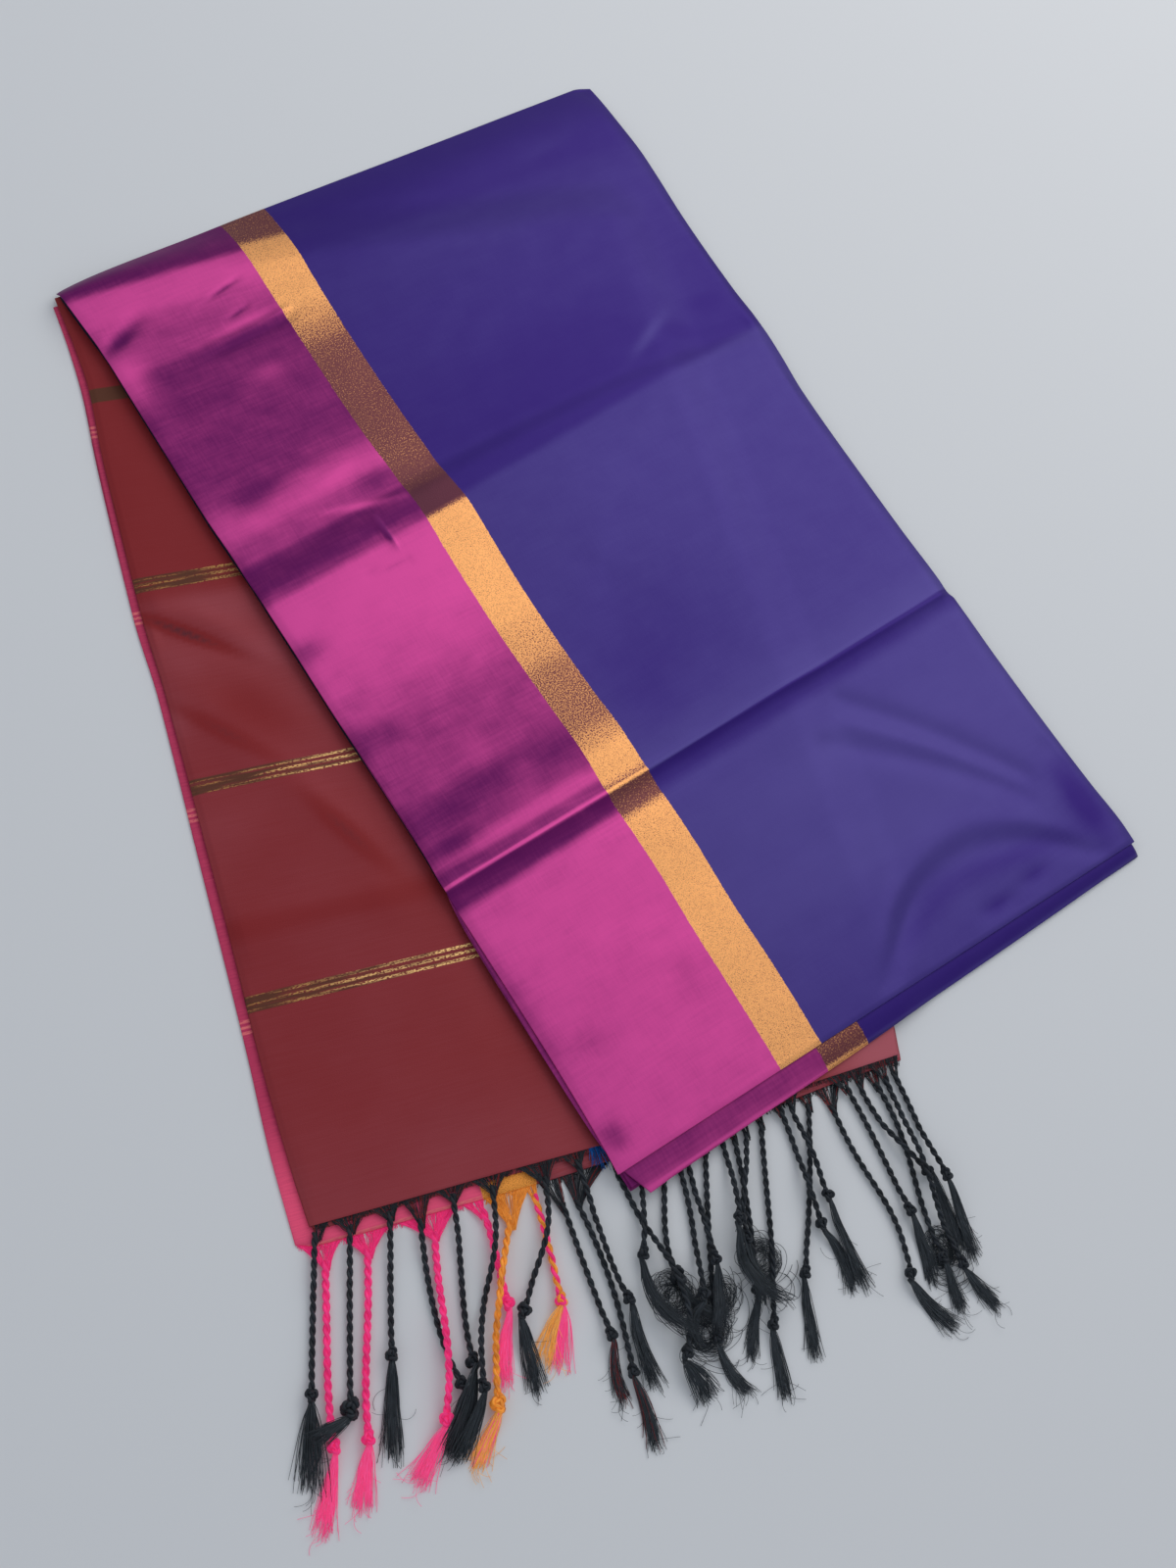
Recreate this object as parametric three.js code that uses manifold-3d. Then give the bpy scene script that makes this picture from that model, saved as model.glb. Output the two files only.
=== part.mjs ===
import * as THREE from "three";
import Module from "manifold-3d";

const wasm = await Module();
wasm.setup();

// Sizes are in millimetres. X runs across the laid-out end piece, Y up along its left edge, Z up from the floor.
const WALL = 1.1;
const SEAM = 0.3;
const EDGE_BULGE = 0.35;
const EDGE_ROOM = SEAM + EDGE_BULGE * WALL;

// The end piece, called the pallu: three plies laid flat, folded in three across the cloth's width.
const PALLU_LENGTH = 547;
const PALLU_RIGHT = 343;
const PALLU_TOP_END = 6;
const PALLU_HEIGHT = 3 * WALL + 2 * SEAM;

// The folded body lies on the pallu, turned about their shared top left corner.
const BODY_WIDTH = 373;
const BODY_LENGTH = 586;
const BODY_TURN = THREE.MathUtils.degToRad(15.85);
const BODY_CORNER = { x: 4.6, y: 5 };
const HIDDEN_DEPTH = 3.4;
const BODY_SEAM = 0.45;
const STACK = HIDDEN_DEPTH + BODY_SEAM + WALL + BODY_SEAM;
const RAMP = 36;

// Fringe: twisted cords with a knot and a brush of locks, from a raw strip of warp beside each hem.
const STRIP_WIDTH = 2.2;
const FLOOR_GAP = 0.3;
const CLEARANCE = 0.85;
const CORD_RADIUS = { pink: 2.1, orange: 2, dark: 1.75 };
const KNOT_RADIUS = 3.45;
const KNOT_LENGTH = 7;
const STRAIGHTNESS = 0.3;
const LOCKS = 3;
const LOCK_RADIUS = 1.05;
const SAMPLE_STEP = 2;
const SLOPE = 0.28;

// Left and right edges of the body's top fold, as shifts from a true rectangle at each distance down it.
const BODY_SIDES = [
  { v: 0, left: 0, right: 5.8 },
  { v: 22, left: 1.5, right: 6 },
  { v: 50, left: 3, right: 7.1 },
  { v: 70, left: 2.8, right: 6.2 },
  { v: 105, left: 2.5, right: 3.8 },
  { v: 164, left: 2.2, right: 2.8 },
  { v: 190, left: 3, right: 3.9 },
  { v: 217, left: 3.2, right: 2.4 },
  { v: 246, left: 3.4, right: -0.5 },
  { v: 300, left: 3.6, right: -1.2 },
  { v: 350, left: 4.5, right: -1.1 },
  { v: 392, left: 4, right: -0.3 },
  { v: 401, left: 3.6, right: -0.9 },
  { v: 407, left: 3.2, right: 1 },
  { v: 450, left: 3, right: 0.4 },
  { v: 500, left: 3, right: 0.9 },
  { v: 545, left: 2.2, right: 2.2 },
  { v: 572, left: 1, right: 3.8 },
  { v: 586, left: 0, right: 3.2 },
];

// Top edge of the body at each distance across it: its shift, and how far in its rounding runs.
const BODY_TOP_EDGE = [
  { u: 0, shift: -2.4, rounding: 8 },
  { u: 5, shift: -3.3, rounding: 8.8 },
  { u: 22, shift: -5.2, rounding: 11.5 },
  { u: 45, shift: -6.6, rounding: 15 },
  { u: 90, shift: -7.9, rounding: 23 },
  { u: 124, shift: -8.5, rounding: 30 },
  { u: 175, shift: -8.6, rounding: 35 },
  { u: 225, shift: -8.5, rounding: 39 },
  { u: 275, shift: -8.6, rounding: 41 },
  { u: 322, shift: -8.8, rounding: 43 },
  { u: 362, shift: -8.8, rounding: 41 },
  { u: 373, shift: -5.5, rounding: 36 },
];

// Left edge and lower end of the second fold, which shows beyond the top one.
const SECOND_SIDES = [
  { v: 0, left: 4, right: 3.4 },
  { v: 50, left: 4, right: 4.4 },
  { v: 105, left: 4, right: 1.4 },
  { v: 217, left: 4, right: 0.2 },
  { v: 246, left: 4.2, right: -2.8 },
  { v: 400, left: 4.5, right: -3 },
  { v: 440, left: 0.8, right: -1.6 },
  { v: 500, left: 0, right: -0.9 },
  { v: 560, left: 0.4, right: 0.9 },
  { v: 586, left: 4, right: 1.2 },
  { v: 602, left: 10.5, right: 1.2 },
];
const SECOND_END = [
  { u: 0, v: 602.4 },
  { u: 120, v: 600 },
  { u: 373, v: 594 },
];

// Creases and soft folds of the body, in its own sizes: ends, bow, half width and height.
const BODY_FOLDS = [
  { name: "pressed cross fold", u1: 0, v1: 413, u2: 373, v2: 400, bow: 0, width: 5, height: 1.5 },
  { name: "dip after the cross fold", u1: 0, v1: 424, u2: 373, v2: 411, bow: 0, width: 9, height: -0.9 },
  { name: "soft old fold", u1: 0, v1: 206, u2: 373, v2: 192, bow: 12, width: 11, height: -1 },
  { name: "wave above the old fold", u1: 0, v1: 150, u2: 373, v2: 140, bow: 0, width: 40, height: -0.9 },
  { name: "swell below the old fold", u1: 0, v1: 258, u2: 373, v2: 244, bow: 0, width: 30, height: 0.8 },
  { name: "upper pucker by the corner", u1: 268, v1: 428, u2: 338, v2: 517, bow: 3, width: 10, height: -1.4 },
  { name: "lower pucker by the corner", u1: 246, v1: 448, u2: 330, v2: 527, bow: 4, width: 9, height: -1.2 },
  { name: "arc near the lower corner", u1: 196, v1: 570, u2: 350, v2: 578, bow: 34, width: 15, height: -1.6 },
  { name: "dent at the left edge", u1: 8, v1: 40, u2: 24, v2: 50, bow: 0, width: 10, height: -1 },
  { name: "long pucker in the border", u1: 60, v1: 71, u2: 110, v2: 66, bow: 0, width: 7, height: -1.2 },
];

// Edges of the pallu's plies at each distance down it.
const PALLU_SIDES = [
  { y: 6, border: 0.5, top: 2.5, right: 340 },
  { y: -30, border: 3.2, top: 6.5, right: 341 },
  { y: -55, border: 3.8, top: 8, right: 341 },
  { y: -100, border: 1.8, top: 5.7, right: 341 },
  { y: -150, border: 0.6, top: 4.8, right: 341 },
  { y: -200, border: 0.2, top: 4.4, right: 341 },
  { y: -250, border: 2.4, top: 6.2, right: 342 },
  { y: -350, border: 1.2, top: 6.5, right: 342 },
  { y: -450, border: 0.3, top: 5.5, right: 342 },
  { y: -505, border: -1.2, top: 6.2, right: 343 },
  { y: -551, border: -0.4, top: 8.2, right: 338.5 },
];
const HEMS = [
  { x: 0, lower: -547.5, middle: -542, upper: -540.2 },
  { x: 10, lower: -550.6, middle: -543, upper: -540.8 },
  { x: 124, lower: -551, middle: -543, upper: -541 },
  { x: 171, lower: -549.6, middle: -543, upper: -541.2 },
  { x: 270, lower: -546.6, middle: -543, upper: -541.6 },
  { x: 343, lower: -545.4, middle: -541.8, upper: -540.4 },
];

// Soft folds in the part of the pallu that shows, in its own sizes.
const PALLU_FOLDS = [
  { name: "fold from the left edge", u1: 6, v1: -196, u2: 70, v2: -232, bow: -3, width: 9, height: 1.3 },
  { name: "long slack wave", u1: 24, v1: -262, u2: 112, v2: -372, bow: 4, width: 14, height: 1.2 },
  { name: "cross wave below it", u1: 0, v1: -392, u2: 110, v2: -384, bow: 0, width: 14, height: 1 },
  { name: "wave near the hem", u1: 20, v1: -520, u2: 120, v2: -470, bow: 6, width: 18, height: 0.9 },
];

// A row for each tassel. A negative lean points left. Bow and sway bend the cord, and spread is the brush's width.
const TASSEL_COLUMNS = [
  "fringe", "yarn", "place", "root", "web", "cord", "lean", "bow", "sway", "lock", "lockLean", "lockBow", "spread",
];
const TASSEL_ROWS = [
  ["upper_left", "dark", 61.5, -552, 9, 82, -1, -4.5, 0.5, 34, -30, 0.7, 10],
  ["lower_pink", "pink", 11, -559, 13, 87, -12, -1.4, 0.5, 46, -16, 0, 11],
  ["lower_pink", "pink", 32.5, -559, 12, 89, -15, -0.7, 0.7, 36, -14, 0, 10],
  ["lower_pink", "pink", 66.7, -563, 12, 87, -13, 2.4, -1, 32, -35, 0, 9],
  ["lower_pink", "pink", 93.4, -556, 5, 48, 0, 0.6, 0.3, 42, -14, -1.2, 9],
  ["lower_orange", "orange", 105.5, -565, 9, 89, -20, -4.2, 0, 33, -32, 0, 9],
  ["lower_orange", "orange", 121, -560, 4, 50, -1, 1, 0, 36, -20, 0, 16],
  ["lower_dark", "dark", 134, -564, 8, 69, 3.5, -0.5, 0, 32, -6, -2, 8],
  ["lower_dark", "dark", 141, -564, 8, 89, 1, 4.2, 0, 37, 0, 2, 8],
  ["lower_dark", "dark", 216.5, -556, 3, 98, -15.5, -1, 0, 31, 19, -1.8, 7],
  ["lower_dark", "dark", 233, -556, 3, 80, -11, 2, 0, 32, -26, 0, 8],
  ["lower_dark", "dark", 250, -552, 3, 104, -16.5, 2, -0.6, 36, -6, 0, 9],
  ["lower_dark", "dark", 279, -550, 4, 89, -22, 2, 0, 41, -10, 0, 9],
  ["lower_dark", "dark", 291, -554, 11, 96, 5.5, 4.5, -2.6, 36, 30, -1.3, 10],
  ["lower_dark", "dark", 320, -549, 5, 97, 1.5, 1.5, 1.8, 29, 0, 0, 9],
  ["middle", "dark", 193, -556, 3, 61, -11, -4, 1, 33, 42, -5, 9],
  ["middle", "dark", 199.3, -556, 3, 73, -8.5, 2.5, 0.3, 24, -24, -5, 8],
  ["middle", "dark", 240.5, -555, 3, 56, -20, -2, 0.7, 34, -4, 0, 8],
  ["upper_left", "dark", 9.5, -544.5, 6, 77, -16, 0, 0, 43, -14, 0, 11],
  ["upper_left", "dark", 27, -547, 10, 86, -15, 0, 0, 21, -76, 0, 10],
  ["upper_left", "dark", 48, -545, 7, 69, -15, 0, 0, 49, -12, 0, 11],
  ["upper_left", "dark", 80.5, -545, 8, 82, -9, -0.5, 0.8, 45, -25, 1.8, 12],
  ["upper_left", "dark", 101.5, -549, 7, 95, -19.5, -0.3, 2.4, 36, -34, 0.4, 10],
  ["upper_left", "dark", 128.5, -549, 5, 68, -24.5, 5, 1, 41, -5, 0.4, 10],
  ["upper_left", "dark", 147.5, -546, 6, 73, 4, -2.2, 0.9, 44, 0, -1, 10],
  ["upper_right", "dark", 166, -556, 3, 97, 2, 9, -3, 24, 16, 1, 10],
  ["upper_right", "dark", 180, -556, 3, 46, -17.5, 0, 0, 46, 18, -7, 9],
  ["upper_right", "dark", 204.8, -556, 3, 57, -4, 0, 0, 35, -16, 0.8, 8],
  ["upper_right", "dark", 226, -555, 3, 43, -10, 2, 0, 48, 18, -9, 9],
  ["upper_right", "dark", 262.5, -548, 3, 64, 1, 0, 0.7, 36, 10, 3, 8],
  ["upper_right", "dark", 268.5, -547, 3, 52, 4, 0, 0, 49, 6, -0.7, 8],
  ["upper_right", "dark", 302.5, -546, 6, 73, 8.5, 0.8, 0.3, 39, -2, 1, 8],
  ["upper_right", "dark", 310, -546, 4, 60, 21, -4, 0, 46, 1, 1.6, 8],
  ["upper_right", "dark", 326.5, -547, 3, 105, 2.5, -1.4, 0.3, 30, 28, 0, 10],
  ["upper_right", "dark", 331.8, -546, 3, 61, 6, 0, 0.3, 44, 3, 0, 8],
];

// The raw strip of each fringe: its hem, its ends along that hem, and its height.
const STRIPS = [
  { name: "lower_pink", hem: "lower", from: -0.2, to: 95.6, base: FLOOR_GAP, top: WALL },
  { name: "lower_orange", hem: "lower", from: 96, to: 124.6, base: FLOOR_GAP, top: WALL },
  { name: "lower_dark", hem: "lower", from: 125, to: 338, base: FLOOR_GAP, top: WALL },
  { name: "middle", hem: "middle", from: 187, to: 246, base: WALL + SEAM, top: 2 * WALL + SEAM },
  { name: "upper_left", hem: "upper", from: 8.6, to: 154.6, base: 2 * (WALL + SEAM), top: PALLU_HEIGHT },
  { name: "upper_right", hem: "upper", from: 164.2, to: 337.6, base: 2 * (WALL + SEAM), top: PALLU_HEIGHT },
];

// The fan of loose blue warp at the top hem, beside the body's edge.
const FAN = { from: 155, to: 163.8, threads: 7, length: 12, radius: 0.4 };

const FINISHES = {
  body: { color: "#463a86", roughness: 0.38, metalness: 0.05 },
  second: { color: "#3f2f78", roughness: 0.38, metalness: 0.05 },
  hidden: { color: "#2c2452", roughness: 0.55, metalness: 0.02 },
  maroon: { color: "#762b30", roughness: 0.5, metalness: 0.04 },
  border: { color: "#cd3a5c", roughness: 0.45, metalness: 0.03 },
  pink: { color: "#f53278", roughness: 0.6, metalness: 0 },
  orange: { color: "#eb9132", roughness: 0.6, metalness: 0.05 },
  dark: { color: "#232a34", roughness: 0.6, metalness: 0 },
  blue: { color: "#005aaa", roughness: 0.6, metalness: 0 },
};

// Grid lines of the body: distances across it, and for each line down it where it meets the left and right edges.
const ACROSS = [0, 5, 22, 45, 90, 124, 175, 225, 275, 322, 362, 373];
const DOWN = [
  [0, 0], [2, 0], [8, 7], [16, 16], [30, 30], [48, 46], [80, 78], [120, 114], [165, 154], [194, 179], [207, 192],
  [221, 206], [258, 243], [310, 295], [360, 346], [392, 379], [406, 393], [413, 400], [420, 407], [434, 421],
  [456, 448], [484, 479], [512, 510], [540, 540], [566, 566],
];

const smooth = (t) => {
  const c = THREE.MathUtils.clamp(t, 0, 1);
  return c * c * (3 - 2 * c);
};

// A column of a table at a place between its rows.
function read(rows, key, at, column) {
  const rising = rows[rows.length - 1][key] > rows[0][key];
  const order = rising ? rows : [...rows].reverse();
  if (at <= order[0][key]) return order[0][column];
  for (let i = 1; i < order.length; i++) {
    const a = order[i - 1];
    const b = order[i];
    if (at <= b[key]) return a[column] + ((b[column] - a[column]) * (at - a[key])) / (b[key] - a[key]);
  }
  return order[order.length - 1][column];
}

// Height that a table of folds adds at a place: each is a bowed line with a soft section and fading ends.
function relief(folds, u, v) {
  let height = 0;
  for (const fold of folds) {
    const du = fold.u2 - fold.u1;
    const dv = fold.v2 - fold.v1;
    const length = Math.hypot(du, dv);
    const t = ((u - fold.u1) * du + (v - fold.v1) * dv) / (length * length);
    const side = ((v - fold.v1) * du - (u - fold.u1) * dv) / length;
    const bowed = side + fold.bow * 4 * t * (1 - t);
    const past = Math.max(0, -t, t - 1) * length;
    const fade = Math.exp(-((past / (1.5 * fold.width)) ** 2));
    height += fold.height * Math.exp(-((bowed / fold.width) ** 2)) * fade;
  }
  return height;
}

function bodyPlace(u, v) {
  return {
    x: BODY_CORNER.x + u * Math.cos(BODY_TURN) + v * Math.sin(BODY_TURN),
    y: BODY_CORNER.y + u * Math.sin(BODY_TURN) - v * Math.cos(BODY_TURN),
  };
}

// Height of what the body rests on: the pallu, and the floor beyond its right edge and top end.
function groundHeight(x, y) {
  const beyond = Math.hypot(Math.max(0, x - PALLU_RIGHT), Math.max(0, y - PALLU_TOP_END));
  return (PALLU_HEIGHT + SEAM) * (1 - smooth(beyond / RAMP));
}

const soften = (t) => 1 - (1 - THREE.MathUtils.clamp(t, 0, 1)) ** 2.2;

// Share of the stack's full height at a distance down the body, straight between the grid's rows.
function topRounding(share, u, v) {
  const edge = read(BODY_TOP_EDGE, "u", u, "shift");
  const rounding = read(BODY_TOP_EDGE, "u", u, "rounding");
  const rowAt = (j) => (j === 0 ? edge : THREE.MathUtils.lerp(DOWN[j][0], DOWN[j][1], share));
  let j = 1;
  while (j < DOWN.length - 1 && rowAt(j) < v) j++;
  const t = THREE.MathUtils.clamp((v - rowAt(j - 1)) / (rowAt(j) - rowAt(j - 1)), 0, 1);
  const [a, b] = [soften((rowAt(j - 1) - edge) / rounding), soften((rowAt(j) - edge) / rounding)];
  return THREE.MathUtils.lerp(a, b, t);
}

// Height of the top fold's underside over what the body rests on, without its creases.
function stackHeight(u, v) {
  const left = read(BODY_SIDES, "v", v, "left");
  const right = BODY_WIDTH + read(BODY_SIDES, "v", v, "right");
  const share = (u - left) / (right - left);
  const atLeft = THREE.MathUtils.clamp((share * BODY_WIDTH) / ACROSS[1], 0, 1);
  const roll = BODY_WIDTH - ACROSS[ACROSS.length - 2];
  const atRight = THREE.MathUtils.clamp(((1 - share) * BODY_WIDTH) / roll, 0, 1);
  return STACK * topRounding(share, u, v) * (0.6 + 0.4 * atRight) * (0.85 + 0.15 * atLeft);
}

function creaseHeight(u, v) {
  const calm = smooth(v / 30) * smooth((BODY_LENGTH + 4 - v) / 12) * smooth(u / 6) * smooth((BODY_WIDTH - u) / 8);
  return relief(BODY_FOLDS, u, v) * (0.25 + 0.75 * calm);
}

const PALLU_CALM = 26;

// Height of the pallu's relief, which fades out before the body's left edge.
function palluRelief(x, y) {
  const u = (x - BODY_CORNER.x) * Math.cos(BODY_TURN) + (y - BODY_CORNER.y) * Math.sin(BODY_TURN);
  return relief(PALLU_FOLDS, x, y) * smooth(-(u + 4) / PALLU_CALM) * smooth((x - 6) / 8) * smooth((y + 538) / 14);
}

// One closed body from corner points and faces, turned face out.
function closedBody(points, faces) {
  let volume = 0;
  for (const [a, b, c] of faces) {
    const [p, q, r] = [points[a], points[b], points[c]];
    volume += p[0] * (q[1] * r[2] - q[2] * r[1]) - p[1] * (q[0] * r[2] - q[2] * r[0]) + p[2] * (q[0] * r[1] - q[1] * r[0]);
  }
  const turned = volume < 0 ? faces.map(([a, b, c]) => [a, c, b]) : faces;
  const mesh = new wasm.Mesh({
    numProp: 3,
    vertProperties: Float32Array.from(points.flat()),
    triVerts: Uint32Array.from(turned.flat()),
  });
  mesh.merge();
  return new wasm.Manifold(mesh);
}

// A ply of cloth: a grid of columns and rows with a top, an underside and a rounded rim.
function clothPly(columns, rows, place) {
  const points = [];
  const faces = [];
  const top = [];
  const under = [];
  for (let i = 0; i < columns; i++) {
    top.push([]);
    under.push([]);
    for (let j = 0; j < rows; j++) {
      const p = place(i, j);
      top[i].push(points.push([p.x, p.y, p.top]) - 1);
      under[i].push(points.push([p.x, p.y, p.under]) - 1);
    }
  }
  for (let i = 1; i < columns; i++) {
    for (let j = 1; j < rows; j++) {
      const near = [i - 1, j - 1];
      const far = [i, j];
      faces.push([top[near[0]][near[1]], top[far[0]][near[1]], top[far[0]][far[1]]]);
      faces.push([top[near[0]][near[1]], top[far[0]][far[1]], top[near[0]][far[1]]]);
      faces.push([under[near[0]][near[1]], under[far[0]][far[1]], under[far[0]][near[1]]]);
      faces.push([under[near[0]][near[1]], under[near[0]][far[1]], under[far[0]][far[1]]]);
    }
  }
  const loop = [];
  for (let i = 0; i < columns; i++) loop.push([i, 0]);
  for (let j = 1; j < rows; j++) loop.push([columns - 1, j]);
  for (let i = columns - 2; i >= 0; i--) loop.push([i, rows - 1]);
  for (let j = rows - 2; j > 0; j--) loop.push([0, j]);
  const middle = loop.map(([i, j], k) => {
    const before = points[top[loop[(k + loop.length - 1) % loop.length][0]][loop[(k + loop.length - 1) % loop.length][1]]];
    const after = points[top[loop[(k + 1) % loop.length][0]][loop[(k + 1) % loop.length][1]]];
    const [x, y, z] = points[top[i][j]];
    const low = points[under[i][j]][2];
    const along = new THREE.Vector2(after[0] - before[0], after[1] - before[1]).normalize();
    const out = (z - low) * EDGE_BULGE;
    const inward = points[top[Math.min(Math.max(i, 1), columns - 2)][Math.min(Math.max(j, 1), rows - 2)]];
    const sign = (inward[0] - x) * along.y - (inward[1] - y) * along.x > 0 ? -1 : 1;
    return points.push([x + sign * along.y * out, y - sign * along.x * out, (z + low) / 2]) - 1;
  });
  loop.forEach(([i, j], k) => {
    const next = (k + 1) % loop.length;
    const [m, n] = loop[next];
    faces.push([top[i][j], middle[next], top[m][n]]);
    faces.push([top[i][j], middle[k], middle[next]]);
    faces.push([middle[k], under[m][n], middle[next]]);
    faces.push([middle[k], under[i][j], under[m][n]]);
  });
  return closedBody(points, faces);
}

// A ply of the body between its own edges. Its inner grid lines are shared, so that stacked plies never touch.
function bodyPly(edges, heights) {
  const tail = edges.tail;
  const rows = DOWN.length + tail.length;
  return clothPly(ACROSS.length, rows, (i, j) => {
    const share = ACROSS[i] / BODY_WIDTH;
    const row = DOWN[Math.min(j, DOWN.length - 1)];
    let v = THREE.MathUtils.lerp(row[0], row[1], share);
    if (j >= DOWN.length) v = tail[j - DOWN.length](ACROSS[i]);
    if (j === 0) v = edges.start(ACROSS[i]);
    if (j === 1) v = Math.max(v, edges.start(ACROSS[i]) + 2);
    if (j === 2) v = Math.max(v, edges.start(ACROSS[i]) + 4);
    const left = read(BODY_SIDES, "v", v, "left");
    const right = BODY_WIDTH + read(BODY_SIDES, "v", v, "right");
    let u = THREE.MathUtils.lerp(left, right, share);
    if (i === 0) u = edges.left(v);
    if (i === ACROSS.length - 1) u = edges.right(v);
    const { x, y } = bodyPlace(u, v);
    return { x, y, ...heights(u, v, x, y) };
  });
}

const topEdges = {
  start: (u) => read(BODY_TOP_EDGE, "u", u, "shift"),
  tail: [() => BODY_LENGTH],
  left: (v) => read(BODY_SIDES, "v", v, "left"),
  right: (v) => BODY_WIDTH + read(BODY_SIDES, "v", v, "right"),
};
const inset = (u, share) => read(BODY_TOP_EDGE, "u", u, "shift") + share * read(BODY_TOP_EDGE, "u", u, "rounding");
const secondEnd = (u, share) => THREE.MathUtils.lerp(BODY_LENGTH, read(SECOND_END, "u", u, "v"), share);
const secondEdges = {
  start: (u) => inset(u, 0.24),
  tail: [() => BODY_LENGTH, (u) => secondEnd(u, 0.6), (u) => secondEnd(u, 1)],
  left: (v) => read(SECOND_SIDES, "v", v, "left"),
  right: (v) => BODY_WIDTH + read(SECOND_SIDES, "v", v, "right"),
};
const HIDDEN_EDGE = 0.9;
const hiddenEdges = {
  start: (u) => inset(u, 0.4),
  tail: [() => BODY_LENGTH, (u) => secondEnd(u, 0.6)],
  left: (v) => read(BODY_SIDES, "v", v, "left") + (v < 415 ? -HIDDEN_EDGE : 2),
  right: (v) => BODY_WIDTH + read(SECOND_SIDES, "v", v, "right") - 2,
};

// Underside of the top fold. Beyond the top fold's end the second one rounds down to its own edge.
function topUnderside(u, v, x, y) {
  return groundHeight(x, y) + stackHeight(u, v) + creaseHeight(u, v);
}
function secondTop(u, v, x, y) {
  const end = read(SECOND_END, "u", u, "v");
  const lip = soften((end - v) / (end - BODY_LENGTH));
  const ground = groundHeight(x, y);
  const full = topUnderside(u, Math.min(v, BODY_LENGTH), x, y) - ground - BODY_SEAM;
  return ground + Math.max(WALL + 0.1, full * (0.45 + 0.55 * lip));
}

function bodyTopFold() {
  return bodyPly(topEdges, (u, v, x, y) => {
    const under = topUnderside(u, v, x, y);
    return { top: under + WALL, under };
  });
}
function bodySecondFold() {
  return bodyPly(secondEdges, (u, v, x, y) => {
    const top = secondTop(u, v, x, y);
    return { top, under: top - WALL };
  });
}

// The hidden folds fill the space under the second one, down to the floor or the pallu, which they are cut clear of.
function bodyHiddenFolds() {
  const block = bodyPly(hiddenEdges, (u, v, x, y) => {
    const drop = v > BODY_LENGTH + 1 ? 0.6 : 0;
    const top = secondTop(u, v, x, y) - WALL - BODY_SEAM - drop;
    return { top: Math.max(top, 0.3), under: 0 };
  });
  const low = -PALLU_LENGTH - 60;
  const width = PALLU_RIGHT + EDGE_ROOM + 60;
  const depth = PALLU_TOP_END + EDGE_ROOM - low;
  const room = wasm.Manifold.cube([width, depth, PALLU_HEIGHT + SEAM + 1], false).translate([-60, low, -1]);
  return block.subtract(room);
}

// Grid lines of the pallu, across and down. They are closer where the pallu shows, and few on its flat plies.
const PALLU_SPAN = 338;
const PALLU_ACROSS = [0, 3, 14, 34, 56, 80, 104, 128, 170, 270, PALLU_SPAN];
const PALLU_FEW = [0, 10, 124, 170, 270, PALLU_SPAN];
const PALLU_DOWN = [6, -30, -55, -100, -150, -195, -225, -250, -280, -315, -350, -385, -420, -450, -480, -505, -525, -547];

// Places of a ply's hem, from left to right.
function hemLine(ply) {
  const y = PALLU_DOWN[PALLU_DOWN.length - 1];
  return ply.columns.map((column) => {
    const x = THREE.MathUtils.lerp(ply.left(y), ply.right(y), column / PALLU_SPAN);
    return { x, y: read(HEMS, "x", x, ply.hem) };
  });
}

function palluPly(ply, heights) {
  const hem = hemLine(ply);
  return clothPly(ply.columns.length, PALLU_DOWN.length, (i, j) => {
    if (j === PALLU_DOWN.length - 1) return { ...hem[i], ...heights(hem[i].x, hem[i].y) };
    const y = PALLU_DOWN[j];
    const x = THREE.MathUtils.lerp(ply.left(y), ply.right(y), ply.columns[i] / PALLU_SPAN);
    return { x, y, ...heights(x, y) };
  });
}
const borderLeft = (y) => read(PALLU_SIDES, "y", y, "border");
const topLeft = (y) => read(PALLU_SIDES, "y", y, "top");
const palluRight = (y) => read(PALLU_SIDES, "y", y, "right");

// The lowest ply is flat on the floor. The top ply's left edge turns down over the middle one.
const LIP_WIDTH = 2.2;
const PLIES = {
  lower: { hem: "lower", columns: PALLU_FEW, left: borderLeft, right: palluRight },
  middle: {
    hem: "middle",
    columns: PALLU_FEW,
    left: (y) => topLeft(y) + LIP_WIDTH + 1.6,
    right: (y) => palluRight(y) - 0.8,
  },
  upper: { hem: "upper", columns: PALLU_ACROSS, left: topLeft, right: (y) => palluRight(y) - 1.8 },
};
function palluBorderPly() {
  return palluPly(PLIES.lower, () => ({ top: WALL, under: 0 }));
}
function palluMiddlePly() {
  return palluPly(PLIES.middle, () => ({ top: 2 * WALL + SEAM, under: WALL + SEAM }));
}
function palluTopPly() {
  return palluPly(PLIES.upper, (x, y) => {
    const lip = x < topLeft(y) + 1 ? WALL : 0;
    const under = 2 * (WALL + SEAM) - lip + palluRelief(x, y);
    return { top: PALLU_HEIGHT - lip * 0.6 + palluRelief(x, y), under };
  });
}

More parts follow.
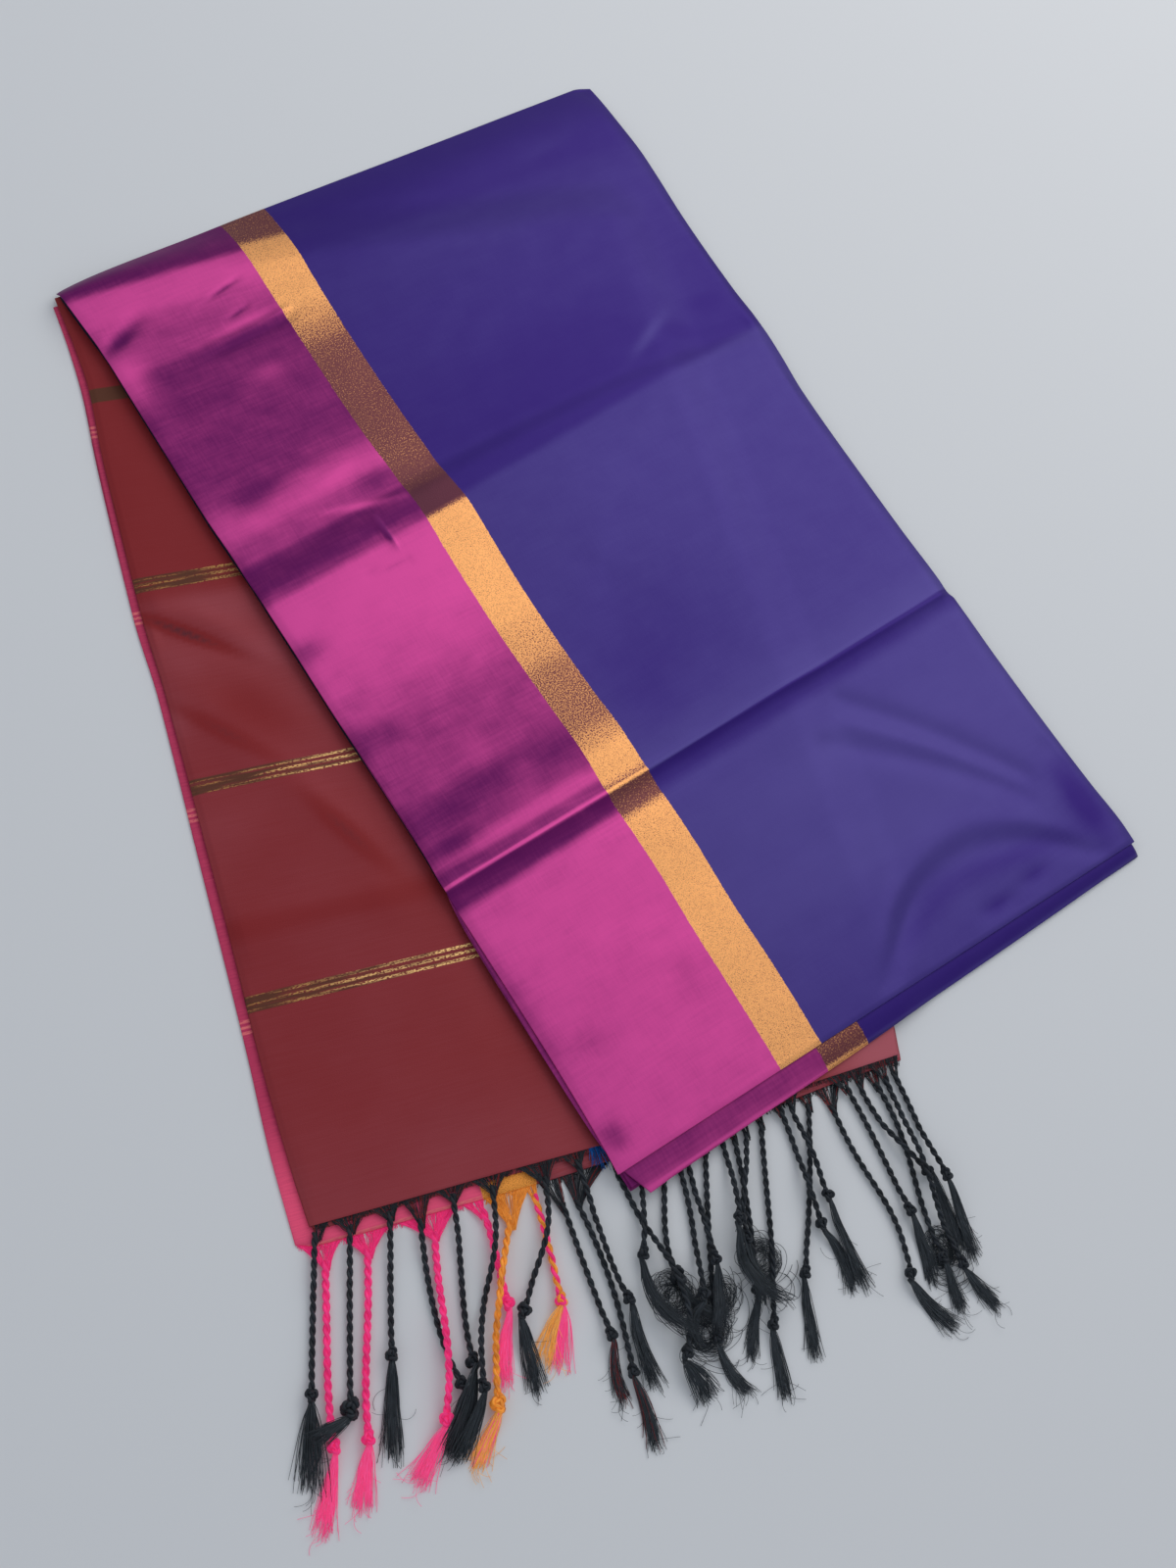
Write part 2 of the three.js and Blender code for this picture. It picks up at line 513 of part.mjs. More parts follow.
// A strand with a flat-sided section along a line of places, each with its own radius.
function strand(places, sides) {
  const points = [];
  const faces = [];
  places.forEach((p, i) => {
    const a = places[Math.max(0, i - 1)];
    const b = places[Math.min(places.length - 1, i + 1)];
    const along = new THREE.Vector3(b.x - a.x, b.y - a.y, b.z - a.z).normalize();
    const across = new THREE.Vector3(along.y, -along.x, 0).normalize();
    const up = new THREE.Vector3().crossVectors(across, along).normalize();
    for (let k = 0; k < sides; k++) {
      const angle = (2 * Math.PI * k) / sides + Math.PI / 2;
      const c = Math.cos(angle) * p.radius;
      const s = Math.sin(angle) * p.radius;
      points.push([p.x + across.x * c + up.x * s, p.y + across.y * c + up.y * s, p.z + across.z * c + up.z * s]);
    }
  });
  for (let i = 1; i < places.length; i++) {
    for (let k = 0; k < sides; k++) {
      const a = (i - 1) * sides + k;
      const b = (i - 1) * sides + ((k + 1) % sides);
      faces.push([a, b, b + sides], [a, b + sides, a + sides]);
    }
  }
  const last = (places.length - 1) * sides;
  for (let k = 2; k < sides; k++) {
    faces.push([0, k, k - 1]);
    faces.push([last, last + k - 1, last + k]);
  }
  return closedBody(points, faces);
}

// A line on the floor from a place, with a lean, a bow and a sway, as places a short step apart.
function floorLine(from, reach, lean, bow, sway, radiusAt) {
  const angle = THREE.MathUtils.degToRad(lean);
  const ahead = { x: Math.sin(angle), y: -Math.cos(angle) };
  const beside = { x: -ahead.y, y: ahead.x };
  const count = Math.ceil(reach / SAMPLE_STEP);
  return Array.from({ length: count + 1 }, (_, i) => {
    const t = i / count;
    const off = bow * 4 * t * (1 - t) + sway * Math.sin(2 * Math.PI * t);
    return {
      x: from.x + ahead.x * reach * t + beside.x * off,
      y: from.y + ahead.y * reach * t + beside.y * off,
      at: reach * t,
      radius: radiusAt(t * reach, reach),
    };
  });
}

// Height of what a strand lies on where it leaves its hem: the floor, or the lowest ply with its strip and webs.
function hemHeight(x, y, fringe) {
  if (fringe.startsWith("lower")) return FLOOR_GAP;
  const webEnd = x < 152 ? -568 : read(HEMS, "x", x, "lower") - EDGE_ROOM - STRIP_WIDTH - 1.5;
  return y > webEnd ? WALL + 0.4 : FLOOR_GAP;
}

// Lays a strand on what is already down: it rises over each strand that it crosses and falls back softly.
function lay(line, laid, fringe, start = 0) {
  const need = line.map((p) => {
    let z = hemHeight(p.x, p.y, fringe) + p.radius;
    for (const q of laid) {
      const gap = Math.hypot(p.x - q.x, p.y - q.y);
      const reach = p.radius + q.radius + CLEARANCE;
      if (gap < reach) z = Math.max(z, q.z + Math.sqrt(reach * reach - gap * gap));
    }
    return z;
  });
  need[0] = Math.max(need[0], start);
  return line.map((p) => {
    const z = Math.max(...need.map((height, k) => height - SLOPE * Math.abs(p.at - line[k].at)));
    return { ...p, z };
  });
}

// Keeps only the places that a line needs to stay true within a small distance.
function simplify(line) {
  const first = line[0];
  const last = line[line.length - 1];
  const span = new THREE.Line3(new THREE.Vector3(first.x, first.y, first.z), new THREE.Vector3(last.x, last.y, last.z));
  let worst = 0;
  let at = 0;
  line.forEach((p, i) => {
    const place = new THREE.Vector3(p.x, p.y, p.z);
    const away = span.closestPointToPoint(place, true, new THREE.Vector3()).distanceTo(place);
    if (away > worst) [worst, at] = [away, i];
  });
  if (worst < STRAIGHTNESS) return [first, last];
  return [...simplify(line.slice(0, at + 1)), ...simplify(line.slice(at)).slice(1)];
}

// Thickness of a cord at a distance along it: even, then swelling to its knot at the end.
function cordRadius(at, reach, radius) {
  const knot = reach - KNOT_LENGTH;
  if (at < knot - 1) return radius;
  const t = THREE.MathUtils.clamp((at - knot + 1) / (KNOT_LENGTH + 1), 0, 1);
  return radius + (KNOT_RADIUS - radius) * Math.min(1, 1.6 * Math.sin(Math.PI * t));
}

// A cord with its knot, and the brush of locks beyond it.
function tassel(row, laid) {
  const radius = CORD_RADIUS[row.yarn];
  const reach = row.cord + KNOT_LENGTH / 2;
  const swell = (at, full) => cordRadius(at, full, radius);
  const line = floorLine({ x: row.place, y: row.root }, reach, row.lean, row.bow, row.sway, swell);
  const cord = lay(line, laid, row.fringe);
  const knotStart = cord.findIndex((p) => p.at > reach - KNOT_LENGTH - 1);
  const knot = cord.slice(knotStart);
  const shape = [...simplify(cord.slice(0, knotStart + 1)).slice(0, -1), knot[0], knot[1], knot[knot.length - 2], knot[knot.length - 1]];
  const solids = [strand(shape, 4)];
  const placed = [...cord];
  const brush = cord[cord.length - 2];
  for (let k = 0; k < LOCKS; k++) {
    const share = (2 * k) / (LOCKS - 1) - 1;
    const length = (row.lock - KNOT_LENGTH / 2) * (1 - 0.07 * ((k * 2) % 3));
    const taper = (at, full) => LOCK_RADIUS * (1 - 0.5 * (at / full));
    const middle = floorLine(brush, length, row.lockLean, row.lockBow, 0, taper);
    const angle = THREE.MathUtils.degToRad(row.lockLean);
    const fanned = middle.map((p) => {
      const beside = share * row.spread * 0.5 * Math.sqrt(p.at / length);
      return { ...p, x: p.x + Math.cos(angle) * beside, y: p.y + Math.sin(angle) * beside };
    });
    const down = lay(fanned, laid, "lower", brush.z);
    solids.push(strand(simplify(down), 3));
    placed.push(...down);
  }
  laid.push(...placed);
  return solids;
}

// A raw strip beside a hem, drawn out into a web at the root of each of its tassels.
function rawStrip(strip, rows) {
  const hem = hemLine(PLIES[strip.hem]);
  const hemAt = (x) => read(hem, "x", x, "y") - EDGE_ROOM;
  const inner = [];
  const outer = [];
  const own = rows.filter((row) => row.fringe === strip.name).sort((a, b) => a.place - b.place);
  const stops = new Set([strip.from, strip.to]);
  hem.forEach((place) => {
    if (place.x > strip.from && place.x < strip.to) stops.add(place.x);
  });
  [...stops].sort((a, b) => a - b).forEach((x) => inner.push([x, hemAt(x)]));
  outer.push([strip.from, hemAt(strip.from) - STRIP_WIDTH]);
  own.forEach((row, i) => {
    const low = i === 0 ? strip.from + 0.4 : (own[i - 1].place + row.place) / 2 + 0.3;
    const high = i === own.length - 1 ? strip.to - 0.4 : (own[i + 1].place + row.place) / 2 - 0.3;
    const start = Math.max(row.place - row.web, low);
    const end = Math.min(row.place + row.web, high);
    const tip = Math.min(1.2, CORD_RADIUS[row.yarn]);
    outer.push([start, hemAt(start) - STRIP_WIDTH]);
    outer.push([row.place - tip, row.root - 1.2]);
    outer.push([row.place + tip, row.root - 1.2]);
    outer.push([end, hemAt(end) - STRIP_WIDTH]);
  });
  outer.push([strip.to, hemAt(strip.to) - STRIP_WIDTH]);
  const outline = [...inner.reverse(), ...outer];
  const section = new wasm.CrossSection([outline], "NonZero");
  return section.extrude(strip.top - strip.base).translate([0, 0, strip.base]);
}

const tassels = TASSEL_ROWS.map((row) => Object.fromEntries(TASSEL_COLUMNS.map((name, i) => [name, row[i]])));
const laid = [];
const strands = tassels.map((row) => ({ fringe: row.fringe, solids: tassel(row, laid) }));

function fringe(strip) {
  const parts = strands.filter((one) => one.fringe === strip.name).flatMap((one) => one.solids);
  return wasm.Manifold.union([rawStrip(strip, tassels), ...parts]);
}

// Blue threads fan out from a short strip of their own, lying just above the lowest ply.
function threadFan() {
  const hem = hemLine(PLIES.upper);
  const hemAt = (x) => read(hem, "x", x, "y") - EDGE_ROOM;
  const outline = [
    [FAN.to, hemAt(FAN.to)],
    [FAN.from, hemAt(FAN.from)],
    [FAN.from, hemAt(FAN.from) - STRIP_WIDTH],
    [FAN.to, hemAt(FAN.to) - STRIP_WIDTH],
  ];
  const base = 2 * (WALL + SEAM);
  const section = new wasm.CrossSection([outline], "NonZero");
  const parts = [section.extrude(WALL).translate([0, 0, base])];
  for (let k = 0; k < FAN.threads; k++) {
    const share = k / (FAN.threads - 1);
    const x = THREE.MathUtils.lerp(FAN.from + 0.8, FAN.to - 0.8, share);
    const y = hemAt(x) - STRIP_WIDTH + 0.5;
    const tip = { x: x + (share - 0.6) * 2.4, y: y - FAN.length * (0.55 + 0.45 * Math.sin(Math.PI * share)) };
    const places = [
      { x, y, z: base + WALL * 0.6, radius: FAN.radius },
      { ...tip, z: base - 0.2, radius: FAN.radius * 0.7 },
    ];
    parts.push(strand(places, 3));
  }
  return wasm.Manifold.union(parts);
}

const saree = new THREE.Group();

function addNode(name, finish, solid) {
  const { vertProperties, triVerts } = solid.getMesh();
  const geometry = new THREE.BufferGeometry();
  geometry.setAttribute("position", new THREE.BufferAttribute(new Float32Array(vertProperties), 3));
  geometry.setIndex(new THREE.BufferAttribute(new Uint32Array(triVerts), 1));
  geometry.computeVertexNormals();
  const mesh = new THREE.Mesh(geometry, new THREE.MeshStandardMaterial(FINISHES[finish]));
  mesh.name = name;
  saree.add(mesh);
}

const STRIP_FINISH = {
  lower_pink: "pink",
  lower_orange: "orange",
  lower_dark: "dark",
  middle: "dark",
  upper_left: "dark",
  upper_right: "dark",
};

addNode("pallu_border_ply", "border", palluBorderPly());
addNode("pallu_middle_ply", "maroon", palluMiddlePly());
addNode("pallu_top_ply", "maroon", palluTopPly());
addNode("body_hidden_folds", "hidden", bodyHiddenFolds());
addNode("body_second_fold", "second", bodySecondFold());
addNode("body_top_fold", "body", bodyTopFold());
STRIPS.forEach((strip) => addNode(`fringe_${strip.name}`, STRIP_FINISH[strip.name], fringe(strip)));
addNode("fringe_blue_threads", "blue", threadFan());

// The part's own origin is the middle of its base.
const box = new THREE.Box3().setFromObject(saree);
const middle = box.getCenter(new THREE.Vector3());
saree.position.set(-middle.x, -middle.y, -box.min.z);

export default saree;
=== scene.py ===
import math

import bpy
import numpy as np
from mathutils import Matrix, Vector


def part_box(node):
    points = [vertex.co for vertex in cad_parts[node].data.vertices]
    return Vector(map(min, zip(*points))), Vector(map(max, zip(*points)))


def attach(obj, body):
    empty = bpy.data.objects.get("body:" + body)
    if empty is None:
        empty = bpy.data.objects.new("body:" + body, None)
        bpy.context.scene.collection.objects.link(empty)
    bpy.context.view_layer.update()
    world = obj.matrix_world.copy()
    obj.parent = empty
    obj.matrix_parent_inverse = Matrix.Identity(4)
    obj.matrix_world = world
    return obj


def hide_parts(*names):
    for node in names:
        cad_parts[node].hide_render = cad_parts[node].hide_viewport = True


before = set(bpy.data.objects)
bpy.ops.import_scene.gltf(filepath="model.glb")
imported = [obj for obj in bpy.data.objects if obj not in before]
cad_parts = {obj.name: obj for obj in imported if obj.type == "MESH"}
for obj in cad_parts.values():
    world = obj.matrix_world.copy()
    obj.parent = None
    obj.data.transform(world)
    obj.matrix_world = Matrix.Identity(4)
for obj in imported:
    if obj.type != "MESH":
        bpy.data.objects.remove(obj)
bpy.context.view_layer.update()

bl_info = {
    "name": "Folded saree",
    "version": (1, 0, 0),
    "blender": (4, 5, 0),
    "location": "View3D > Sidebar > Saree",
    "description": "A silk saree folded into a bundle on its laid-out end piece, with a knotted fringe",
    "category": "Object",
}

# Sizes are in millimetres on the cloth's own plan and turn to metres when a mesh is made.
# X runs across the laid-out end piece, Y up along its left edge, Z up from the floor.
MM = 0.001
TURN = 2 * np.pi
WALL = 1.1
SEAM = 0.3
EDGE_BULGE = 0.35
PALLU_LENGTH = 547
PALLU_WIDTH = 340
PALLU_RIGHT = 343
PALLU_TOP_END = 6
HEM_BAND = 17
PALLU_HEIGHT = 3 * WALL + 2 * SEAM
BODY_WIDTH = 373
BODY_LENGTH = 586
BODY_TURN = math.radians(15.85)
BODY_CORNER = (4.6, 5)
BODY_SEAM = 0.45
FOLD_SLANT = 13
FOLD_ROW = 414
SECOND_TOP_INSET = 0.24
HIDDEN_TOP_INSET = 0.4
HIDDEN_SIDE_INSET = 2
STACK = 3.4 + 2 * BODY_SEAM + WALL
RAMP = 36
FLOOR_GAP = 0.3
CLEARANCE = 0.85
CORD_RADIUS = {"pink": 2.1, "orange": 2.0, "dark": 1.75}
KNOT_RADIUS = 3.45
KNOT_LENGTH = 7
LOCK_RADIUS = 1.05
SLOPE = 0.28
LIP_WIDTH = 3
WISP_LIMIT = -694
HANK_RING = 10.5

# Stray fibres of a plain brush and of a curled hank: their number, and the places along each.
WISPS = (12, 16)
HANK_FIBRES = (40, 22)

# Warp threads at a hem: their spacing, the share that is red, and where the webs at the left end.
WARP_GAP = {"pink": 0.4, "orange": 0.32, "dark": 0.5}
RED_WARP_SHARE = 0.2
RAW_END_GAP = 0.45
LEFT_WEBS = (152, -568)
BLUE_THREADS = 34

# The shift of each next strand on its yarn's pattern, and the strength of the painted glow of the bright
# yarns.
STRAND_SHIFT = 1.37
PAINTED_GLOW = 0.34

# Tassels whose knot or brush differs from the rest, by their place along the hem. One has two yarns.
KNOT_SCALE = 0.78
OTHER_KNOT_SCALES = {27: 1.15, 193: 1.05, 105.5: 0.95, 80.5: 0.9, 128.5: 0.9}
STRAY_SHARES = {134: 0.3, 141: 0.14, 105.5: 0.12}
HALF_AND_HALF = 121
CURLY = (193, 199.3, 180, 226, 302.5)

# The rounded edge of one ply: how far down it each ring is, and its share of the bulge.
SINGLE_BULGE = 0.4
PLY_RIM = ((0.12, 0.6), (0.5, 1.0), (0.88, 0.6))

# How far apart the rows and columns of each ply are.
STEPS = {"top": 2.9, "second": 5, "inner": 5, "border": 7, "middle": 8, "pallu": 3}

# Stretches of the body with finer rows and columns: along its folds and at its edges.
FINE_ROWS = ((0, 8), (32, 74), (188, 228), (403, 426))
FINE_COLUMNS = ((0, 0.012), (0.222, 0.24), (0.975, 1))

# Fields of painted sheen and shade that the mesh carries, and the ground's tone that paints hidden plies in
# dark shade.
FIELDS = ("border_sheen", "zari_sheen", "ground_sheen")
HIDDEN_TONE = -1

# Fixed tones of the silk, beside those that the panel can change. The hidden plies' tone and both shadow
# tones are painted shade.
HIDDEN_PLY_SHADE = "#0d0a26"
ZARI_SHADOW = "#5a2e3c"
PALLU_SHADOW = "#62242c"
MARK_PINK = "#ff8a84"
ZARI_BROWN = "#c06e28"

# Floor, window light and camera, in metres. The camera's place is measured from the plan's origin.
FLOOR_HALF = 4.0
WINDOW_SIZE = (1.6, 1.2)
WINDOW_PLACE = (0.95, 0.75, 1.15)
WINDOW_AIM = (0, -0.02, 0)
WINDOW_COLOUR = (1.0, 0.97, 0.93)
AIR_COLOUR = (0.86, 0.92, 1.0, 1)
FOCAL_LENGTH = 45.0
SENSOR_WIDTH = 36.0
CAMERA_LOOK = (0.31030, 0.29465, -0.90382)
CAMERA_UP = (0.20473, 0.90773, 0.36621)
CAMERA_PLACE = (-0.11935, -0.66805, 0.98276)

# The plan's origin in the row frame, from the end piece's right edge and top end.
PALLU_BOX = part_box("pallu_border_ply")
PLAN_X = PALLU_BOX[1][0] / MM - PALLU_RIGHT - EDGE_BULGE * WALL
PLAN_Y = PALLU_BOX[1][1] / MM - PALLU_TOP_END - EDGE_BULGE * WALL


def table(names, *rows):
    """A table with named columns. Its first column is the place that the others are read at."""
    return {name: np.array(column, float) for name, column in zip(names.split(), zip(*rows))}


# Left and right edges of the body's top fold, as shifts from a true rectangle at each distance down it.
BODY_SIDES = table(
    "v left right",
    (0, 0, 5.8), (22, 1.5, 6), (50, 3, 7.1), (70, 2.8, 6.2), (105, 2.5, 3.8), (164, 2.2, 2.8),
    (190, 3, 3.9), (217, 3.2, 2.4), (246, 3.4, -0.5), (300, 3.6, -1.2), (350, 4.5, -1.1),
    (392, 4, -0.3), (401, 3.6, -0.9), (407, 3.2, 1), (450, 3, 0.4), (500, 3, 0.9), (545, 2.2, 2.2),
    (572, 1, 3.8), (586, 0, 3.2),
)

# Top edge of the body at each distance across it: its shift, and how far in its rounding runs.
BODY_TOP_EDGE = table(
    "u shift rounding",
    (0, -2.4, 8), (5, -3.3, 8.8), (22, -5.2, 11.5), (45, -6.6, 15), (90, -7.9, 23), (124, -8.5, 30),
    (175, -8.6, 35), (225, -8.5, 39), (275, -8.6, 41), (322, -8.8, 43), (362, -8.8, 41),
    (373, -5.5, 36),
)

# Left edge, right edge and lower end of the second fold, which shows beyond the top one.
SECOND_SIDES = table(
    "v left right",
    (0, 4, 3.4), (50, 4, 4.4), (105, 4, 1.4), (217, 4, 0.2), (246, 4.2, -2.8), (400, 4.5, -3),
    (440, 0.8, -1.6), (500, 0, -0.9), (560, 0.4, 0.9), (586, 4, 1.2), (602, 10.5, 1.2),
)
SECOND_END = table("u v", (0, 602.4), (120, 600), (373, 594))

# Edges of the copper zari stripe at each distance down the top fold, and on the second one's end.
STRIPE_EDGES = table(
    "v inner outer",
    (0, 109.5, 139.5), (30, 109, 138.5), (60, 108.6, 136.8), (100, 108.2, 135.8), (160, 109, 136.2),
    (200, 111.5, 138), (219, 112, 140), (240, 110.8, 139), (290, 109.8, 137.1), (350, 111.1, 138.1),
    (380, 112.3, 139.8), (411, 110.8, 139.2), (460, 110.8, 138.8), (500, 109, 136.9),
    (540, 108.1, 136.6), (586, 106.5, 134.5),
)
SECOND_STRIPE = table("v inner outer", (0, 131, 160), (610, 131, 160))
STRIPE = (111, 139)

# Creases and folds of the body: ends, bow, half width, height and how sharp the line is.
FOLD_COLUMNS = ("u1", "v1", "u2", "v2", "bow", "width", "height", "sharp")
BODY_FOLDS = {
    "pressed cross fold": (0, 414, 373, 401, 0, 3.2, 1.7, 1),
    "dip after the cross fold": (0, 424, 373, 411, 0, 9, -0.9, 0),
    "swell before the cross fold": (0, 396, 373, 383, 0, 16, 0.5, 0),
    "soft old fold": (0, 206, 373, 192, 12, 8, -1.1, 0),
    "ridge below the old fold": (0, 222, 373, 205, 12, 9, 0.6, 0),
    "wave above the old fold": (0, 150, 373, 140, 0, 40, -0.9, 0),
    "swell below the old fold": (0, 258, 373, 244, 0, 30, 0.8, 0),
    "upper pucker by the corner": (268, 428, 338, 517, 3, 7, -1.4, 0),
    "lower pucker by the corner": (246, 448, 330, 527, 4, 6.5, -1.1, 0),
    "ridge between the puckers": (262, 442, 334, 520, 3, 4.5, 0.7, 0),
    "arc near the lower corner": (196, 570, 350, 578, 34, 9, -1.5, 0),
    "ridge inside the arc": (206, 556, 344, 566, 36, 8, 0.9, 0),
    "dent at the left edge": (5, 47, 26, 38, 0, 6, -1.3, 0),
    "long ridge in the border": (60, 67.5, 109, 64, -1.5, 2.4, 0.7, 0),
    "hollow below that ridge": (60, 72.5, 109, 69, -1.5, 3, -0.7, 0),
    "upper pucker in the border": (77, 39, 94, 34.5, 0, 1.8, -0.6, 0),
    "small pucker in the border": (80, 55.5, 91, 53, 0, 1.6, -0.5, 0),
    "ridge above the old fold": (60, 190, 104, 199.5, 0, 2.8, 0.7, 0),
    "faint crease in the border": (64, 235, 88, 237, 0, 2, -0.4, 0),
    "dent by the right edge": (364, 512, 371, 566, 0, 4, -0.8, 0),
    "first dent by the bottom": (268, 575, 284, 576, 0, 5, -0.7, 0),
    "second dent by the bottom": (300, 573, 316, 571, 0, 5, -0.6, 0),
    "pin tuck in the border": (85, 205, 86.7, 225, 0, 1.5, 0.7, 0),
}

# Edges of the end piece's plies at each distance down it, and their hems at each distance across.
PALLU_SIDES = table(
    "y border top right",
    (6, 0.5, 2.5, 340), (-30, 3.2, 6.5, 341), (-55, 3.8, 8, 341), (-100, 1.8, 5.7, 341),
    (-150, 0.6, 4.8, 341), (-200, 0.2, 4.4, 341), (-250, 2.4, 6.2, 342), (-350, 1.2, 6.5, 342),
    (-450, 0.3, 5.5, 342), (-505, -1.2, 6.2, 343), (-551, -0.4, 8.2, 338.5),
)
HEMS = table(
    "x lower middle upper",
    (0, -547.5, -542, -540.2), (10, -550.6, -543, -540.8), (124, -551, -543, -541),
    (171, -549.6, -543, -541.2), (240, -547.6, -543, -541.2), (270, -545.4, -542, -540.4),
    (300, -542.6, -540.6, -539.2), (343, -540.2, -538.8, -537.4),
)
PALLU_FOLDS = {
    "fold from the left edge": (6, -196, 70, -232, -3, 8, 1.3, 0),
    "trough beside it": (8, -212, 66, -246, -3, 7, -0.7, 0),
    "long slack wave": (24, -262, 112, -372, 4, 14, 1.2, 0),
    "cross wave below it": (0, -392, 110, -384, 0, 14, 1, 0),
    "wave near the hem": (20, -520, 120, -470, 6, 18, 0.9, 0),
}

# Every tassel in the order that they lie on each other, in runs that share a fringe and a yarn.
# Bow and sway bend the cord. The lock is the loose yarn beyond the knot.
TASSEL_COLUMNS = (
    "fringe", "yarn", "place", "root", "web", "cord", "lean", "bow", "sway",
    "lock", "lock_lean", "lock_bow", "spread",
)
TASSEL_RUNS = (
    (
        "upper_left", "dark",
        (61.5, -552, 9, 82, -1, -4.5, 0.5, 34, -30, 0.7, 10),
    ),
    (
        "lower_pink", "pink",
        (11, -559, 13, 87, -12, -1.4, 0.5, 38, -24, 0, 11),
        (32.5, -559, 14, 89, -15, -0.7, 0.7, 32, -22, 0, 12),
        (66.7, -560, 16, 90, -13, 2.4, -1, 31, -43, 0, 12),
        (93.4, -556, 9, 48, -1.5, 0.6, 0.3, 38, -20, -1.2, 9),
    ),
    (
        "lower_orange", "orange",
        (105.5, -565, 16, 89, -20.5, -4.2, 0, 31, -41, 0, 10),
        (121, -556, 3, 54, -3, 1, 0, 33, -28, 0, 21),
    ),
    (
        "lower_dark", "dark",
        (134, -564, 9, 69, 3.5, -0.5, 0, 33, -6, -2, 7), (141, -564, 24, 89, 1, 4.2, 0, 37, 0, 2, 9),
        (216.5, -556, 3, 98, -15.5, -1, 0, 31, 19, -1.8, 7), (233, -556, 3, 80, -11, 2, 0, 32, -26, 0, 8),
        (250, -552, 3, 104, -16.5, 2, -0.6, 36, -6, 0, 9), (279, -550, 4, 89, -22, 2, 0, 41, -10, 0, 9),
        (291, -554, 11, 96, 5.5, 4.5, -2.6, 36, 30, -1.3, 10),
        (320, -549, 5, 97, 1.5, 1.5, 1.8, 29, 0, 0, 9),
    ),
    (
        "middle", "dark",
        (193, -556, 3, 61, -11, -4, 1, 33, 42, -5, 9),
        (199.3, -556, 3, 73, -8.5, 2.5, 0.3, 24, -24, -5, 8),
        (240.5, -555, 3, 56, -20, -2, 0.7, 34, -4, 0, 8),
    ),
    (
        "upper_left", "dark",
        (9.5, -544.5, 8, 77, -16, 0, 0, 43, -16, 0, 17), (27, -545.5, 14, 87, -15, 0, 0, 24, -76, 0, 11),
        (48, -544.5, 12, 69, -15, 0, 0, 48, -15, 0, 12),
        (80.5, -544.5, 12, 82, -9, -0.5, 0.8, 45, -32, 1.8, 14),
        (101.5, -546, 10, 98, -19.5, -0.3, 2.4, 36, -36, 0.4, 10),
        (128.5, -549, 12, 68, -27, 5, 1, 39, -2, 0.4, 10),
        (147.5, -545, 9, 74, 4, -2.2, 0.9, 44, 0, -1, 9),
    ),
    (
        "upper_right", "dark",
        (166, -556, 3, 97, 2, 9, -3, 25, 20, 1, 18), (180, -556, 3, 46, -17.5, 0, 0, 46, 18, -7, 9),
        (204.8, -556, 3, 57, -4, 0, 0, 35, -16, 0.8, 8), (226, -555, 3, 43, -10, 2, 0, 48, 18, -9, 9),
        (262.5, -548, 8, 64, 1, 0, 0.7, 36, 10, 3, 8), (268.5, -547, 8, 52, 4, 0, 0, 49, 6, -0.7, 8),
        (302.5, -546, 9, 73, 8.5, 0.8, 0.3, 39, -2, 1, 8), (310, -546, 8, 60, 21, -4, 0, 46, 1, 1.6, 8),
        (326.5, -547, 8, 105, 2.5, -1.4, 0.3, 30, 28, 0, 10),
        (331.8, -546, 8, 61, 6, 0, 0.3, 44, 3, 0, 8),
    ),
)
TASSELS = [
    dict(zip(TASSEL_COLUMNS, (fringe, yarn, *row))) for fringe, yarn, *rows in TASSEL_RUNS for row in rows
]

# The raw edge of each fringe: its hem, its ends along that hem, and its height.
FRINGES = {
    "lower_pink": ("lower", -0.2, 95.6, WALL / 2),
    "lower_orange": ("lower", 96, 124.6, WALL / 2),
    "lower_dark": ("lower", 125, 338, WALL / 2),
    "middle": ("middle", 187, 246, 1.5 * WALL + SEAM),
    "upper_left": ("upper", 8.6, 154.6, 2.5 * WALL + 2 * SEAM),
    "upper_right": ("upper", 164.2, 337.6, 2.5 * WALL + 2 * SEAM),
}

# The loose blue warp: its ends along the top hem, and its length.
FAN = (155.5, 164, 13)

# Painted sheen and shade on each stripe, bands lit or shaded by its folds: where a line of that tone meets
# its left and right side.
BORDER_SHEEN = table(
    "left right tone",
    (0, 0, 0.04), (5, 14, 0.08), (12, 21, 0.86), (26, 32, 0.9), (36, 44, 0.64), (54, 58, 0.5),
    (64, 64, 0.46), (72, 69, 0.16), (100, 100, 0.22), (140, 140, 0.2), (156, 154, 0.3),
    (170, 164, 0.64), (180, 174, 0.76), (189, 183, 0.5), (198, 192, 0.42), (204, 197, 0.12),
    (218, 210, 0.06), (224, 216, 0.3), (231, 223, 0.9), (245, 234, 1), (262, 255, 0.95),
    (290, 290, 0.8), (305, 305, 0.62), (330, 322, 0.44), (355, 350, 0.42), (378, 374, 0.22),
    (392, 388, 0.38), (402, 398, 0.85), (407, 403.5, 0.35), (411, 407.4, 0.3), (412.8, 409, 1.1),
    (415, 411.4, 0), (424, 418, 0.08), (432, 425, 0.78), (450, 445, 0.9), (500, 500, 0.85),
    (560, 565, 0.84), (586, 586, 0.82), (590, 590, 0.34), (598, 598, 0.45), (600.6, 600.6, 1.1),
)
